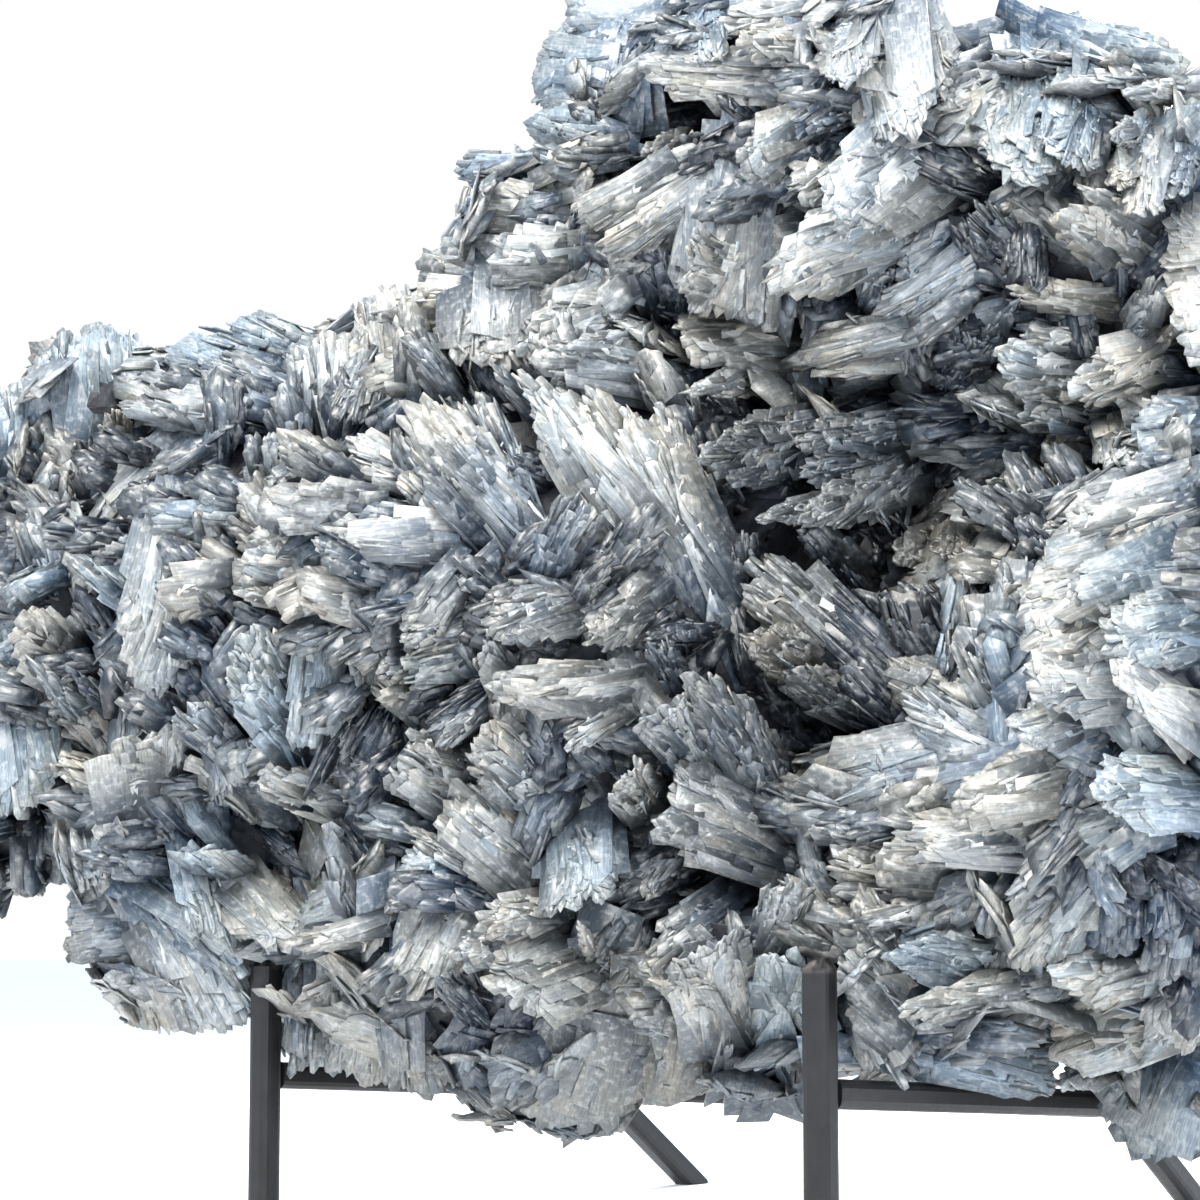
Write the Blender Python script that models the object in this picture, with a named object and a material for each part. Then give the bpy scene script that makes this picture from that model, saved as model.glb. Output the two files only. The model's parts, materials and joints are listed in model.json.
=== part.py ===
"""Blue barite crystal cluster on a welded square-bar stand, as closed solids in metres.

Lengths are worked out in millimetres and turned into metres once, in row_point.
Positions on the crystal are given as the place they have in a picture of the front,
1200 wide and 1200 high, taken by a pinhole camera whose place is given below.
"""

import collections
import math
import random

import bmesh
import bpy
from mathutils import Matrix, Vector

# Picture and camera: focal length and horizon in picture units, height in mm.
FOCAL = 3000.0
PICTURE_CENTRE = 600.0
HORIZON = 950.0
CAMERA_HEIGHT = 98.0

# Stand, in mm. The bars are square stock with rounded corners.
STAND_YAW = math.radians(37.0)
RIGHT_UPRIGHT_ACROSS = 68.0
RIGHT_UPRIGHT_AWAY = 937.0
UPRIGHT_SPACING = 234.0
RAIL_LENGTH = 190.0
RAIL_FRONT_HEIGHT = 54.0
RAIL_REAR_HEIGHT = 43.0
UPRIGHT_TOP = 95.5
LEG_REACH = 76.0
BAR = 9.5
BAR_CORNER = 2.8
BAR_CORNER_STEPS = 3
WELD_GAP = 0.3
GROUND_OFF = 3.2

# Clearance round the bars where the crystal lies on them, in mm.
SEAT_GAP = 0.4

# Crystal, in mm unless a name says otherwise.
SEED = 8248
ROOT_SINK = 12.0
LEAST_THICKNESS = 7.0
MOST_THICKNESS = 19.0
THICKNESS_SHARE = 0.36
FRONT_SHRINK = 0.82
FRONT_CENTRE = 0.35
BACK_FANS = 50
BACK_LENGTH = (34.0, 66.0)
BACK_WIDTH = (18.0, 40.0)
BACK_SPACING = 24.0
LOWEST_BACK_TIP = 64.0
LEAST_WIDTH = 11.4
LUMP_LEVEL = 1
LUMP_SWELL = (1.02, 1.12)
FLAT_ANGLE = math.radians(0.4)
MILLIMETRE = 0.001

# Lumps that the crystals stand on: place in the picture, distance away, and half sizes.
# The first two half sizes are in picture units and the third, front to back, in mm.
# Lumps that the crystals stand on. Place and reach are in picture units, across and down.
# Away is the distance from the camera and deep the half size front to back, both in mm.
Lump = collections.namedtuple("Lump", "place away reach deep")

LUMPS = (
    Lump(place=(600, 610), away=1085, reach=(330, 330), deep=105),
    Lump(place=(330, 600), away=1120, reach=(230, 250), deep=92),
    Lump(place=(90, 620), away=1172, reach=(150, 235), deep=78),
    Lump(place=(255, 840), away=1160, reach=(185, 165), deep=82),
    Lump(place=(520, 930), away=1085, reach=(190, 172), deep=92),
    Lump(place=(745, 930), away=1072, reach=(165, 160), deep=92),
    Lump(place=(950, 890), away=1052, reach=(190, 175), deep=88),
    Lump(place=(1090, 760), away=1020, reach=(210, 270), deep=110),
    Lump(place=(1215, 620), away=985, reach=(150, 215), deep=88),
    Lump(place=(1060, 260), away=1040, reach=(185, 205), deep=92),
    Lump(place=(790, 190), away=1060, reach=(235, 195), deep=92),
    Lump(place=(560, 300), away=1085, reach=(125, 150), deep=76),
    Lump(place=(620, 95), away=1085, reach=(82, 90), deep=56),
    Lump(place=(400, 430), away=1110, reach=(115, 130), deep=76),
    Lump(place=(1160, 1050), away=1062, reach=(72, 92), deep=52),
    Lump(place=(110, 430), away=1152, reach=(100, 92), deep=60),
    Lump(place=(250, 405), away=1140, reach=(85, 72), deep=60),
    Lump(place=(1262, 430), away=1012, reach=(98, 280), deep=88),
    Lump(place=(800, 450), away=1102, reach=(235, 265), deep=64),
    Lump(place=(24, 796), away=1168, reach=(86, 92), deep=50),
    Lump(place=(540, 1046), away=1092, reach=(118, 92), deep=56),
    Lump(place=(962, 110), away=1052, reach=(72, 66), deep=46),
    Lump(place=(862, 716), away=1092, reach=(120, 100), deep=52),
    Lump(place=(1082, 500), away=1088, reach=(112, 122), deep=56),
    Lump(place=(905, 1006), away=1052, reach=(92, 76), deep=42),
    Lump(place=(180, 950), away=1150, reach=(100, 76), deep=50),
    Lump(place=(332, 985), away=1108, reach=(72, 88), deep=38),
    Lump(place=(892, 998), away=988, reach=(80, 88), deep=36),
    Lump(place=(930, 1038), away=1142, reach=(92, 62), deep=40),
)

# Hollows sunk in the front, given the same way.
HOLLOWS = (
    Lump(place=(850, 545), away=955, reach=(165, 112), deep=62),
    Lump(place=(735, 875), away=975, reach=(62, 30), deep=34),
    Lump(place=(700, 110), away=985, reach=(110, 45), deep=36),
    Lump(place=(170, 455), away=1085, reach=(48, 32), deep=30),
    Lump(place=(1085, 905), away=952, reach=(60, 50), deep=30),
)

# Crystal groups that the picture shows. Tip, root and width are in picture units, roll is
# in degrees and out, how far the tip stands off the lumps, in mm. Roll 0 shows the edges
# of the plates and roll 90 shows their broad faces.
Group = collections.namedtuple("Group", "form tip root width roll out")

GROUPS = (
    # Top, left half.
    Group("lobe", tip=(540, 60), root=(640, 70), width=120, roll=85, out=8),
    Group("lobe", tip=(566, 12), root=(680, 14), width=52, roll=80, out=12),
    Group("feather", tip=(637, 70), root=(805, 84), width=54, roll=55, out=26),
    Group("leaf", tip=(524, 126), root=(606, 136), width=52, roll=60, out=10),
    Group("lath", tip=(461, 174), root=(566, 166), width=42, roll=15, out=10),
    Group("lobe", tip=(476, 206), root=(566, 222), width=56, roll=60, out=10),
    Group("lath", tip=(489, 262), root=(590, 262), width=52, roll=0, out=14),
    Group("lath", tip=(498, 366), root=(500, 284), width=92, roll=8, out=16),
    Group("lobe", tip=(402, 318), root=(486, 308), width=62, roll=80, out=10),
    Group("lobe", tip=(420, 272), root=(505, 276), width=52, roll=70, out=6),
    Group("lath", tip=(574, 224), root=(716, 148), width=42, roll=4, out=20),
    Group("lath", tip=(604, 252), root=(733, 164), width=38, roll=4, out=26),
    Group("leaf", tip=(636, 156), root=(708, 140), width=32, roll=60, out=16),
    Group("plate", tip=(730, 322), root=(748, 172), width=82, roll=78, out=30),
    Group("plate", tip=(683, 258), root=(770, 292), width=56, roll=80, out=34),
    Group("lath", tip=(652, 248), root=(692, 338), width=52, roll=0, out=14),
    Group("plate", tip=(588, 304), root=(620, 240), width=74, roll=85, out=2),
    Group("feather", tip=(518, 342), root=(670, 308), width=62, roll=30, out=26),
    Group("feather", tip=(521, 358), root=(690, 384), width=50, roll=22, out=30),
    Group("leaf", tip=(558, 349), root=(662, 342), width=26, roll=20, out=34),
    Group("plate", tip=(681, 345), root=(806, 336), width=46, roll=60, out=16),
    Group("leaf", tip=(676, 394), root=(806, 368), width=30, roll=18, out=20),
    Group("lobe", tip=(742, 168), root=(806, 136), width=52, roll=60, out=14),
    Group("lath", tip=(772, 114), root=(790, 58), width=34, roll=20, out=22),
    Group("lath", tip=(700, 64), root=(702, -8), width=54, roll=40, out=10),
    Group("feather", tip=(724, 26), root=(806, 18), width=36, roll=20, out=16),
    Group("feather", tip=(732, 46), root=(806, 46), width=32, roll=20, out=20),
    Group("lobe", tip=(640, 130), root=(700, 112), width=60, roll=40, out=2),
    # Top, right half.
    Group("lath", tip=(905, 140), root=(868, -4), width=62, roll=4, out=30),
    Group("feather", tip=(850, 86), root=(852, 0), width=48, roll=50, out=30),
    Group("feather", tip=(944, 98), root=(908, 8), width=50, roll=20, out=26),
    Group("leaf", tip=(934, 112), root=(1004, 84), width=36, roll=50, out=22),
    Group("lobe", tip=(940, 76), root=(1004, 62), width=34, roll=60, out=14),
    Group("feather", tip=(818, 210), root=(990, 112), width=80, roll=72, out=34),
    Group("feather", tip=(767, 280), root=(962, 186), width=72, roll=60, out=38),
    Group("feather", tip=(1015, 188), root=(1042, 28), width=78, roll=82, out=34),
    Group("lath", tip=(1066, 168), root=(1088, 58), width=56, roll=28, out=28),
    Group("lobe", tip=(1192, 84), root=(1062, 44), width=64, roll=78, out=10),
    Group("leaf", tip=(1120, 93), root=(1192, 88), width=20, roll=30, out=22),
    Group("plate", tip=(1144, 218), root=(1150, 118), width=34, roll=70, out=32),
    Group("leaf", tip=(1107, 140), root=(1146, 128), width=28, roll=60, out=30),
    Group("lath", tip=(1120, 188), root=(1128, 148), width=24, roll=60, out=22),
    Group("lath", tip=(1172, 196), root=(1190, 118), width=34, roll=30, out=22),
    Group("leaf", tip=(1074, 182), root=(1172, 242), width=30, roll=14, out=32),
    Group("feather", tip=(1056, 205), root=(1166, 266), width=48, roll=62, out=28),
    Group("lath", tip=(1026, 286), root=(1030, 192), width=36, roll=8, out=14),
    Group("lath", tip=(974, 206), root=(1048, 278), width=28, roll=4, out=18),
    Group("feather", tip=(880, 317), root=(1014, 240), width=44, roll=14, out=30),
    Group("feather", tip=(898, 272), root=(966, 226), width=48, roll=55, out=22),
    Group("plate", tip=(883, 266), root=(870, 328), width=20, roll=60, out=20),
    Group("lath", tip=(792, 358), root=(1004, 306), width=34, roll=5, out=24),
    Group("leaf", tip=(818, 374), root=(944, 352), width=26, roll=14, out=30),
    Group("leaf", tip=(1020, 298), root=(946, 404), width=22, roll=50, out=18),
    Group("plate", tip=(980, 334), root=(934, 424), width=44, roll=30, out=8),
    Group("lath", tip=(1017, 288), root=(1114, 308), width=30, roll=20, out=14),
    Group("lath", tip=(1025, 334), root=(1100, 340), width=20, roll=20, out=14),
    Group("feather", tip=(994, 358), root=(1104, 384), width=58, roll=22, out=30),
    Group("feather", tip=(1068, 384), root=(1196, 350), width=52, roll=18, out=34),
    Group("lath", tip=(1168, 276), root=(1124, 348), width=30, roll=10, out=26),
    Group("leaf", tip=(1198, 308), root=(1146, 354), width=14, roll=20, out=30),
    Group("lobe", tip=(1168, 296), root=(1262, 306), width=190, roll=82, out=30),
    Group("lath", tip=(812, 129), root=(856, 118), width=16, roll=30, out=6),
    Group("lobe", tip=(798, 196), root=(852, 166), width=52, roll=50, out=12),
    # Middle.
    Group("feather", tip=(534, 378), root=(706, 604), width=62, roll=6, out=30),
    Group("feather", tip=(594, 386), root=(738, 642), width=66, roll=10, out=24),
    Group("feather", tip=(650, 402), root=(736, 594), width=40, roll=10, out=18),
    Group("leaf", tip=(514, 372), root=(612, 462), width=40, roll=30, out=34),
    Group("feather", tip=(402, 404), root=(534, 546), width=72, roll=36, out=26),
    Group("leaf", tip=(434, 428), root=(506, 506), width=36, roll=50, out=32),
    Group("lath", tip=(466, 398), root=(520, 500), width=36, roll=4, out=16),
    Group("leaf", tip=(494, 400), root=(546, 540), width=16, roll=10, out=20),
    Group("lath", tip=(508, 464), root=(566, 478), width=32, roll=20, out=6),
    Group("lath", tip=(584, 500), root=(540, 580), width=46, roll=8, out=18),
    Group("feather", tip=(486, 632), root=(588, 596), width=52, roll=28, out=24),
    Group("leaf", tip=(612, 556), root=(570, 612), width=28, roll=30, out=14),
    Group("feather", tip=(588, 644), root=(672, 588), width=42, roll=18, out=22),
    Group("feather", tip=(482, 692), root=(676, 680), width=46, roll=8, out=32),
    Group("plate", tip=(482, 644), root=(512, 694), width=34, roll=70, out=26),
    Group("lath", tip=(402, 642), root=(486, 620), width=32, roll=8, out=20),
    Group("lath", tip=(400, 672), root=(480, 652), width=38, roll=10, out=18),
    Group("leaf", tip=(420, 727), root=(504, 676), width=26, roll=20, out=18),
    Group("lath", tip=(428, 742), root=(502, 690), width=32, roll=14, out=20),
    Group("lath", tip=(566, 744), root=(642, 696), width=28, roll=4, out=20),
    Group("lath", tip=(544, 762), root=(512, 700), width=54, roll=4, out=12),
    Group("leaf", tip=(642, 712), root=(676, 732), width=22, roll=40, out=14),
    Group("lath", tip=(648, 636), root=(722, 630), width=24, roll=10, out=12),
    Group("lath", tip=(654, 640), root=(700, 722), width=30, roll=10, out=16),
    Group("plate", tip=(663, 700), root=(742, 806), width=62, roll=66, out=26),
    Group("feather", tip=(696, 668), root=(792, 826), width=52, roll=22, out=30),
    Group("plate", tip=(660, 796), root=(786, 850), width=72, roll=78, out=32),
    Group("lath", tip=(398, 756), root=(486, 804), width=60, roll=10, out=22),
    Group("leaf", tip=(412, 736), root=(476, 772), width=38, roll=20, out=26),
    Group("lath", tip=(476, 736), root=(566, 806), width=62, roll=8, out=24),
    Group("plate", tip=(622, 776), root=(662, 812), width=44, roll=82, out=26),
    Group("lath", tip=(740, 536), root=(748, 606), width=18, roll=20, out=16),
    Group("feather", tip=(700, 464), root=(868, 434), width=60, roll=14, out=28),
    Group("leaf", tip=(754, 521), root=(858, 498), width=26, roll=30, out=26),
    Group("lath", tip=(798, 440), root=(956, 422), width=34, roll=8, out=22),
    Group("lath", tip=(800, 470), root=(940, 446), width=34, roll=6, out=16),
    Group("feather", tip=(800, 517), root=(946, 456), width=46, roll=12, out=24),
    Group("plate", tip=(955, 444), root=(1046, 430), width=38, roll=58, out=14),
    Group("plate", tip=(1008, 519), root=(1018, 484), width=52, roll=78, out=10),
    Group("lath", tip=(974, 474), root=(1050, 470), width=36, roll=8, out=8),
    Group("lath", tip=(904, 566), root=(988, 508), width=40, roll=6, out=22),
    Group("plate", tip=(954, 566), root=(986, 512), width=42, roll=74, out=24),
    Group("leaf", tip=(968, 476), root=(914, 528), width=16, roll=10, out=20),
    Group("plate", tip=(806, 519), root=(884, 612), width=32, roll=66, out=18),
    Group("leaf", tip=(898, 606), root=(970, 594), width=16, roll=20, out=14),
    Group("leaf", tip=(1002, 518), root=(1040, 574), width=18, roll=20, out=16),
    Group("plate", tip=(972, 612), root=(1006, 560), width=34, roll=50, out=10),
    Group("leaf", tip=(1037, 476), root=(1090, 514), width=18, roll=20, out=26),
    Group("lath", tip=(1046, 533), root=(1094, 534), width=20, roll=30, out=26),
    Group("lobe", tip=(1044, 456), root=(1106, 448), width=60, roll=40, out=26),
    Group("lath", tip=(1122, 466), root=(1108, 414), width=32, roll=20, out=24),
    Group("lath", tip=(1024, 402), root=(1106, 412), width=48, roll=20, out=20),
    Group("lobe", tip=(1132, 446), root=(1210, 436), width=78, roll=70, out=28),
    Group("plate", tip=(988, 584), root=(1006, 756), width=36, roll=68, out=26),
    Group("feather", tip=(1016, 632), root=(1184, 556), width=104, roll=74, out=34),
    Group("lobe", tip=(1026, 682), root=(1160, 664), width=76, roll=76, out=38),
    Group("feather", tip=(1058, 548), root=(1214, 500), width=66, roll=70, out=28),
    Group("lobe", tip=(1070, 594), root=(1198, 560), width=56, roll=76, out=44),
    Group("lobe", tip=(1104, 644), root=(1210, 616), width=64, roll=76, out=42),
    Group("feather", tip=(1110, 666), root=(1214, 738), width=46, roll=50, out=40),
    Group("lath", tip=(744, 572), root=(902, 684), width=60, roll=8, out=18),
    Group("feather", tip=(748, 632), root=(884, 696), width=50, roll=12, out=24),
    Group("lath", tip=(798, 596), root=(934, 704), width=60, roll=8, out=12),
    Group("lath", tip=(852, 640), root=(966, 704), width=44, roll=8, out=16),
    Group("feather", tip=(782, 664), root=(886, 732), width=52, roll=40, out=24),
    Group("feather", tip=(808, 788), root=(1002, 746), width=74, roll=18, out=34),
    Group("feather", tip=(900, 700), root=(1002, 752), width=46, roll=16, out=30),
    Group("lath", tip=(882, 690), root=(894, 734), width=26, roll=20, out=22),
    Group("leaf", tip=(954, 644), root=(990, 700), width=26, roll=20, out=22),
    Group("leaf", tip=(1002, 592), root=(1056, 578), width=32, roll=60, out=24),
    Group("lobe", tip=(1012, 736), root=(1098, 712), width=52, roll=70, out=34),
    Group("lobe", tip=(958, 802), root=(1096, 770), width=58, roll=74, out=38),
    Group("lobe", tip=(1092, 790), root=(1206, 788), width=66, roll=60, out=40),
    # Left.
    Group("lobe", tip=(108, 328), root=(112, 438), width=92, roll=80, out=10),
    Group("lobe", tip=(64, 336), root=(66, 432), width=60, roll=78, out=10),
    Group("lobe", tip=(18, 384), root=(24, 476), width=76, roll=78, out=10),
    Group("feather", tip=(170, 346), root=(272, 378), width=50, roll=12, out=16),
    Group("feather", tip=(232, 322), root=(318, 352), width=38, roll=10, out=14),
    Group("lath", tip=(206, 364), root=(306, 402), width=40, roll=8, out=20),
    Group("feather", tip=(122, 404), root=(256, 420), width=36, roll=30, out=24),
    Group("lath", tip=(340, 328), root=(346, 432), width=52, roll=8, out=14),
    Group("plate", tip=(306, 344), root=(328, 444), width=44, roll=76, out=18),
    Group("lath", tip=(378, 300), root=(386, 396), width=42, roll=14, out=14),
    Group("lobe", tip=(392, 282), root=(410, 356), width=48, roll=80, out=10),
    Group("leaf", tip=(356, 311), root=(364, 366), width=14, roll=20, out=10),
    Group("plate", tip=(272, 430), root=(274, 512), width=50, roll=78, out=18),
    Group("plate", tip=(272, 508), root=(326, 472), width=52, roll=60, out=18),
    Group("feather", tip=(346, 442), root=(416, 478), width=48, roll=58, out=22),
    Group("lath", tip=(198, 508), root=(276, 518), width=26, roll=20, out=18),
    Group("lath", tip=(144, 486), root=(222, 488), width=32, roll=10, out=12),
    Group("lobe", tip=(144, 690), root=(192, 524), width=76, roll=80, out=30),
    Group("lath", tip=(74, 549), root=(144, 612), width=44, roll=12, out=22),
    Group("leaf", tip=(98, 546), root=(162, 508), width=24, roll=20, out=12),
    Group("leaf", tip=(66, 470), root=(74, 520), width=20, roll=76, out=18),
    Group("lath", tip=(112, 412), root=(124, 478), width=26, roll=8, out=12),
    Group("lath", tip=(84, 442), root=(108, 494), width=24, roll=8, out=10),
    Group("lath", tip=(32, 512), root=(56, 600), width=40, roll=20, out=10),
    Group("lobe", tip=(18, 622), root=(78, 668), width=56, roll=78, out=20),
    Group("leaf", tip=(22, 652), root=(114, 742), width=26, roll=30, out=24),
    Group("leaf", tip=(68, 668), root=(130, 722), width=22, roll=30, out=18),
    Group("lobe", tip=(20, 812), root=(14, 706), width=84, roll=76, out=18),
    Group("feather", tip=(240, 555), root=(324, 576), width=36, roll=20, out=22),
    Group("leaf", tip=(236, 590), root=(306, 600), width=26, roll=20, out=22),
    Group("feather", tip=(320, 550), root=(460, 546), width=66, roll=8, out=28),
    Group("plate", tip=(326, 758), root=(334, 590), width=66, roll=74, out=24),
    Group("lath", tip=(240, 632), root=(314, 748), width=44, roll=14, out=24),
    Group("lath", tip=(232, 668), root=(322, 768), width=44, roll=16, out=28),
    Group("leaf", tip=(272, 624), root=(298, 690), width=28, roll=30, out=14),
    Group("lath", tip=(184, 708), root=(246, 768), width=40, roll=14, out=20),
    Group("plate", tip=(232, 796), root=(216, 724), width=46, roll=60, out=22),
    Group("feather", tip=(55, 762), root=(118, 788), width=40, roll=50, out=22),
    Group("plate", tip=(158, 722), root=(162, 808), width=88, roll=82, out=20),
    Group("feather", tip=(262, 772), root=(356, 812), width=42, roll=22, out=24),
    Group("leaf", tip=(371, 676), root=(430, 656), width=32, roll=40, out=18),
    Group("leaf", tip=(374, 700), root=(432, 686), width=24, roll=40, out=16),
    Group("lath", tip=(360, 770), root=(392, 706), width=44, roll=20, out=8),
    Group("lath", tip=(352, 420), root=(378, 350), width=44, roll=10, out=12),
    Group("lath", tip=(160, 580), root=(222, 640), width=44, roll=20, out=8),
    # Bottom, left half.
    Group("lath", tip=(106, 884), root=(56, 778), width=40, roll=14, out=16),
    Group("leaf", tip=(38, 895), root=(42, 852), width=34, roll=60, out=4),
    Group("lobe", tip=(96, 826), root=(158, 836), width=62, roll=80, out=20),
    Group("lobe", tip=(188, 846), root=(238, 876), width=52, roll=70, out=22),
    Group("plate", tip=(64, 930), root=(150, 918), width=64, roll=82, out=8),
    Group("lath", tip=(180, 1028), root=(112, 866), width=70, roll=18, out=6),
    Group("lath", tip=(240, 1030), root=(160, 888), width=78, roll=14, out=12),
    Group("feather", tip=(262, 968), root=(152, 878), width=52, roll=10, out=20),
    Group("lath", tip=(226, 944), root=(192, 846), width=56, roll=16, out=24),
    Group("feather", tip=(300, 952), root=(230, 868), width=56, roll=24, out=24),
    Group("feather", tip=(300, 926), root=(404, 884), width=56, roll=60, out=26),
    Group("lath", tip=(318, 1070), root=(312, 958), width=68, roll=60, out=10),
    Group("lath", tip=(362, 1082), root=(372, 948), width=58, roll=10, out=14),
    Group("lath", tip=(344, 808), root=(400, 872), width=60, roll=10, out=14),
    Group("leaf", tip=(304, 862), root=(262, 826), width=20, roll=20, out=12),
    Group("lath", tip=(446, 798), root=(540, 884), width=66, roll=2, out=20),
    Group("lath", tip=(410, 832), root=(516, 900), width=28, roll=4, out=22),
    Group("plate", tip=(578, 910), root=(580, 808), width=58, roll=82, out=26),
    Group("lobe", tip=(398, 878), root=(480, 868), width=54, roll=76, out=20),
    Group("lath", tip=(414, 990), root=(472, 880), width=54, roll=24, out=20),
    Group("feather", tip=(473, 926), root=(568, 906), width=34, roll=60, out=26),
    Group("lobe", tip=(457, 956), root=(540, 942), width=46, roll=80, out=28),
    Group("feather", tip=(496, 994), root=(590, 958), width=74, roll=66, out=28),
    Group("plate", tip=(632, 892), root=(696, 830), width=42, roll=58, out=18),
    Group("leaf", tip=(578, 921), root=(594, 962), width=14, roll=30, out=24),
    Group("feather", tip=(650, 962), root=(730, 902), width=48, roll=28, out=20),
    Group("lobe", tip=(560, 1128), root=(592, 996), width=140, roll=60, out=10),
    Group("lobe", tip=(476, 1098), root=(512, 1014), width=92, roll=50, out=6),
    Group("lath", tip=(420, 1096), root=(408, 978), width=60, roll=14, out=8),
    Group("leaf", tip=(464, 1082), root=(482, 1008), width=26, roll=40, out=18),
    Group("lath", tip=(440, 974), root=(492, 1034), width=26, roll=10, out=18),
    Group("lobe", tip=(650, 1104), root=(672, 1004), width=96, roll=60, out=10),
    # Bottom, right half.
    Group("plate", tip=(702, 942), root=(736, 1062), width=66, roll=78, out=26),
    Group("lobe", tip=(790, 950), root=(772, 1082), width=64, roll=78, out=22),
    Group("lath", tip=(792, 884), root=(762, 958), width=42, roll=12, out=26),
    Group("leaf", tip=(640, 966), root=(698, 984), width=34, roll=60, out=24),
    Group("feather", tip=(834, 838), root=(898, 850), width=36, roll=30, out=26),
    Group("feather", tip=(826, 864), root=(936, 886), width=50, roll=44, out=30),
    Group("leaf", tip=(828, 890), root=(936, 896), width=28, roll=30, out=28),
    Group("feather", tip=(888, 850), root=(1040, 850), width=38, roll=36, out=32),
    Group("feather", tip=(854, 925), root=(964, 904), width=26, roll=14, out=28),
    Group("feather", tip=(891, 950), root=(1026, 966), width=44, roll=24, out=30),
    Group("feather", tip=(894, 1010), root=(1062, 984), width=30, roll=14, out=28),
    Group("lobe", tip=(846, 956), root=(900, 1014), width=74, roll=40, out=16),
    Group("lath", tip=(1062, 1074), root=(880, 1048), width=48, roll=14, out=20),
    Group("lath", tip=(902, 1082), root=(852, 1000), width=46, roll=10, out=16),
    Group("feather", tip=(1014, 962), root=(1100, 852), width=62, roll=38, out=34),
    Group("plate", tip=(1112, 956), root=(1124, 852), width=48, roll=82, out=12),
    Group("leaf", tip=(1070, 898), root=(1102, 786), width=36, roll=68, out=44),
    Group("leaf", tip=(1000, 906), root=(1080, 832), width=34, roll=20, out=34),
    Group("leaf", tip=(1012, 930), root=(1066, 872), width=24, roll=20, out=34),
    Group("lobe", tip=(1050, 978), root=(1190, 962), width=50, roll=68, out=34),
    Group("lobe", tip=(1046, 1040), root=(1180, 1004), width=82, roll=78, out=30),
    Group("plate", tip=(1166, 1046), root=(1222, 958), width=46, roll=78, out=40),
    Group("lobe", tip=(1140, 1158), root=(1176, 1052), width=96, roll=76, out=14),
    Group("lath", tip=(1158, 952), root=(1168, 862), width=40, roll=20, out=22),
    Group("leaf", tip=(1060, 1086), root=(1120, 1060), width=36, roll=60, out=24),
    Group("feather", tip=(956, 818), root=(1066, 792), width=50, roll=70, out=40),
    # Beyond the right edge of the picture, finished plainly.
    Group("lobe", tip=(1300, 180), root=(1240, 260), width=90, roll=70, out=10),
    Group("feather", tip=(1330, 300), root=(1250, 330), width=80, roll=40, out=12),
    Group("feather", tip=(1352, 430), root=(1262, 440), width=90, roll=30, out=12),
    Group("lobe", tip=(1356, 560), root=(1262, 560), width=96, roll=60, out=12),
    Group("feather", tip=(1350, 690), root=(1262, 660), width=84, roll=40, out=14),
    Group("lobe", tip=(1306, 820), root=(1230, 780), width=90, roll=60, out=12),
    Group("feather", tip=(1290, 930), root=(1220, 880), width=80, roll=40, out=12),
    Group("lath", tip=(1252, 1040), root=(1206, 990), width=60, roll=20, out=12),
    Group("lobe", tip=(1220, 110), root=(1170, 180), width=70, roll=60, out=10),
    Group("feather", tip=(-62, 560), root=(30, 560), width=76, roll=30, out=8),
    Group("lobe", tip=(-66, 680), root=(20, 650), width=84, roll=60, out=8),
    Group("feather", tip=(-44, 800), root=(30, 762), width=70, roll=40, out=8),
    Group("lobe", tip=(-42, 460), root=(30, 480), width=70, roll=60, out=8),
)


def view_to_stand(point):
    """Turns a point seen from the camera (across, away, up) into the stand's own axes."""
    across = point.x - RIGHT_UPRIGHT_ACROSS
    away = point.y - RIGHT_UPRIGHT_AWAY
    cos_yaw = math.cos(STAND_YAW)
    sin_yaw = math.sin(STAND_YAW)
    return Vector((
        UPRIGHT_SPACING + across * cos_yaw - away * sin_yaw,
        across * sin_yaw + away * cos_yaw,
        point.z + CAMERA_HEIGHT,
    ))


PITCH = math.atan((HORIZON - PICTURE_CENTRE) / FOCAL)


def ray(place):
    """The direction from the camera through a place in the picture, with unit distance away."""
    right = (place[0] - PICTURE_CENTRE) / FOCAL
    up = (PICTURE_CENTRE - place[1]) / FOCAL
    away = math.cos(PITCH) - math.sin(PITCH) * up
    rise = math.sin(PITCH) + math.cos(PITCH) * up
    return Vector((right / away, 1.0, rise / away))


def half_sizes(lump):
    """The half sizes of a lump or hollow in mm, across, away and up."""
    scale = lump.away / FOCAL
    return Vector((lump.reach[0] * scale, lump.deep, lump.reach[1] * scale))


def crossings(lump, direction):
    """Where a ray from the camera enters and leaves a lump, as distances away, or None."""
    centre = ray(lump.place) * lump.away
    half = half_sizes(lump)
    d = Vector((direction.x / half.x, direction.y / half.y, direction.z / half.z))
    c = Vector((centre.x / half.x, centre.y / half.y, centre.z / half.z))
    a = d.dot(d)
    b = -2 * d.dot(c)
    rest = b * b - 4 * a * (c.dot(c) - 1)
    if rest < 0:
        return None
    root = math.sqrt(rest)
    return (-b - root) / (2 * a), (-b + root) / (2 * a)


def surface_away(place):
    """How far away the lumps' front is behind a place in the picture, or None outside them."""
    direction = ray(place)
    spans = sorted(s for s in (crossings(lump, direction) for lump in LUMPS) if s)
    if not spans:
        return None
    front = spans[0][0]
    for hollow in HOLLOWS:
        span = crossings(hollow, direction)
        if span and span[0] < front < span[1]:
            front = span[1]
    return front


def nearest_away(place):
    """The front's distance at a place, or just inside the lumps where the place is outside."""
    x, y = place
    for step in range(40):
        front = surface_away((x, y))
        if front is not None:
            return front
        x += (PICTURE_CENTRE - x) * 0.03
        y += (PICTURE_CENTRE - y) * 0.03
    return LUMPS[0].away


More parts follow.
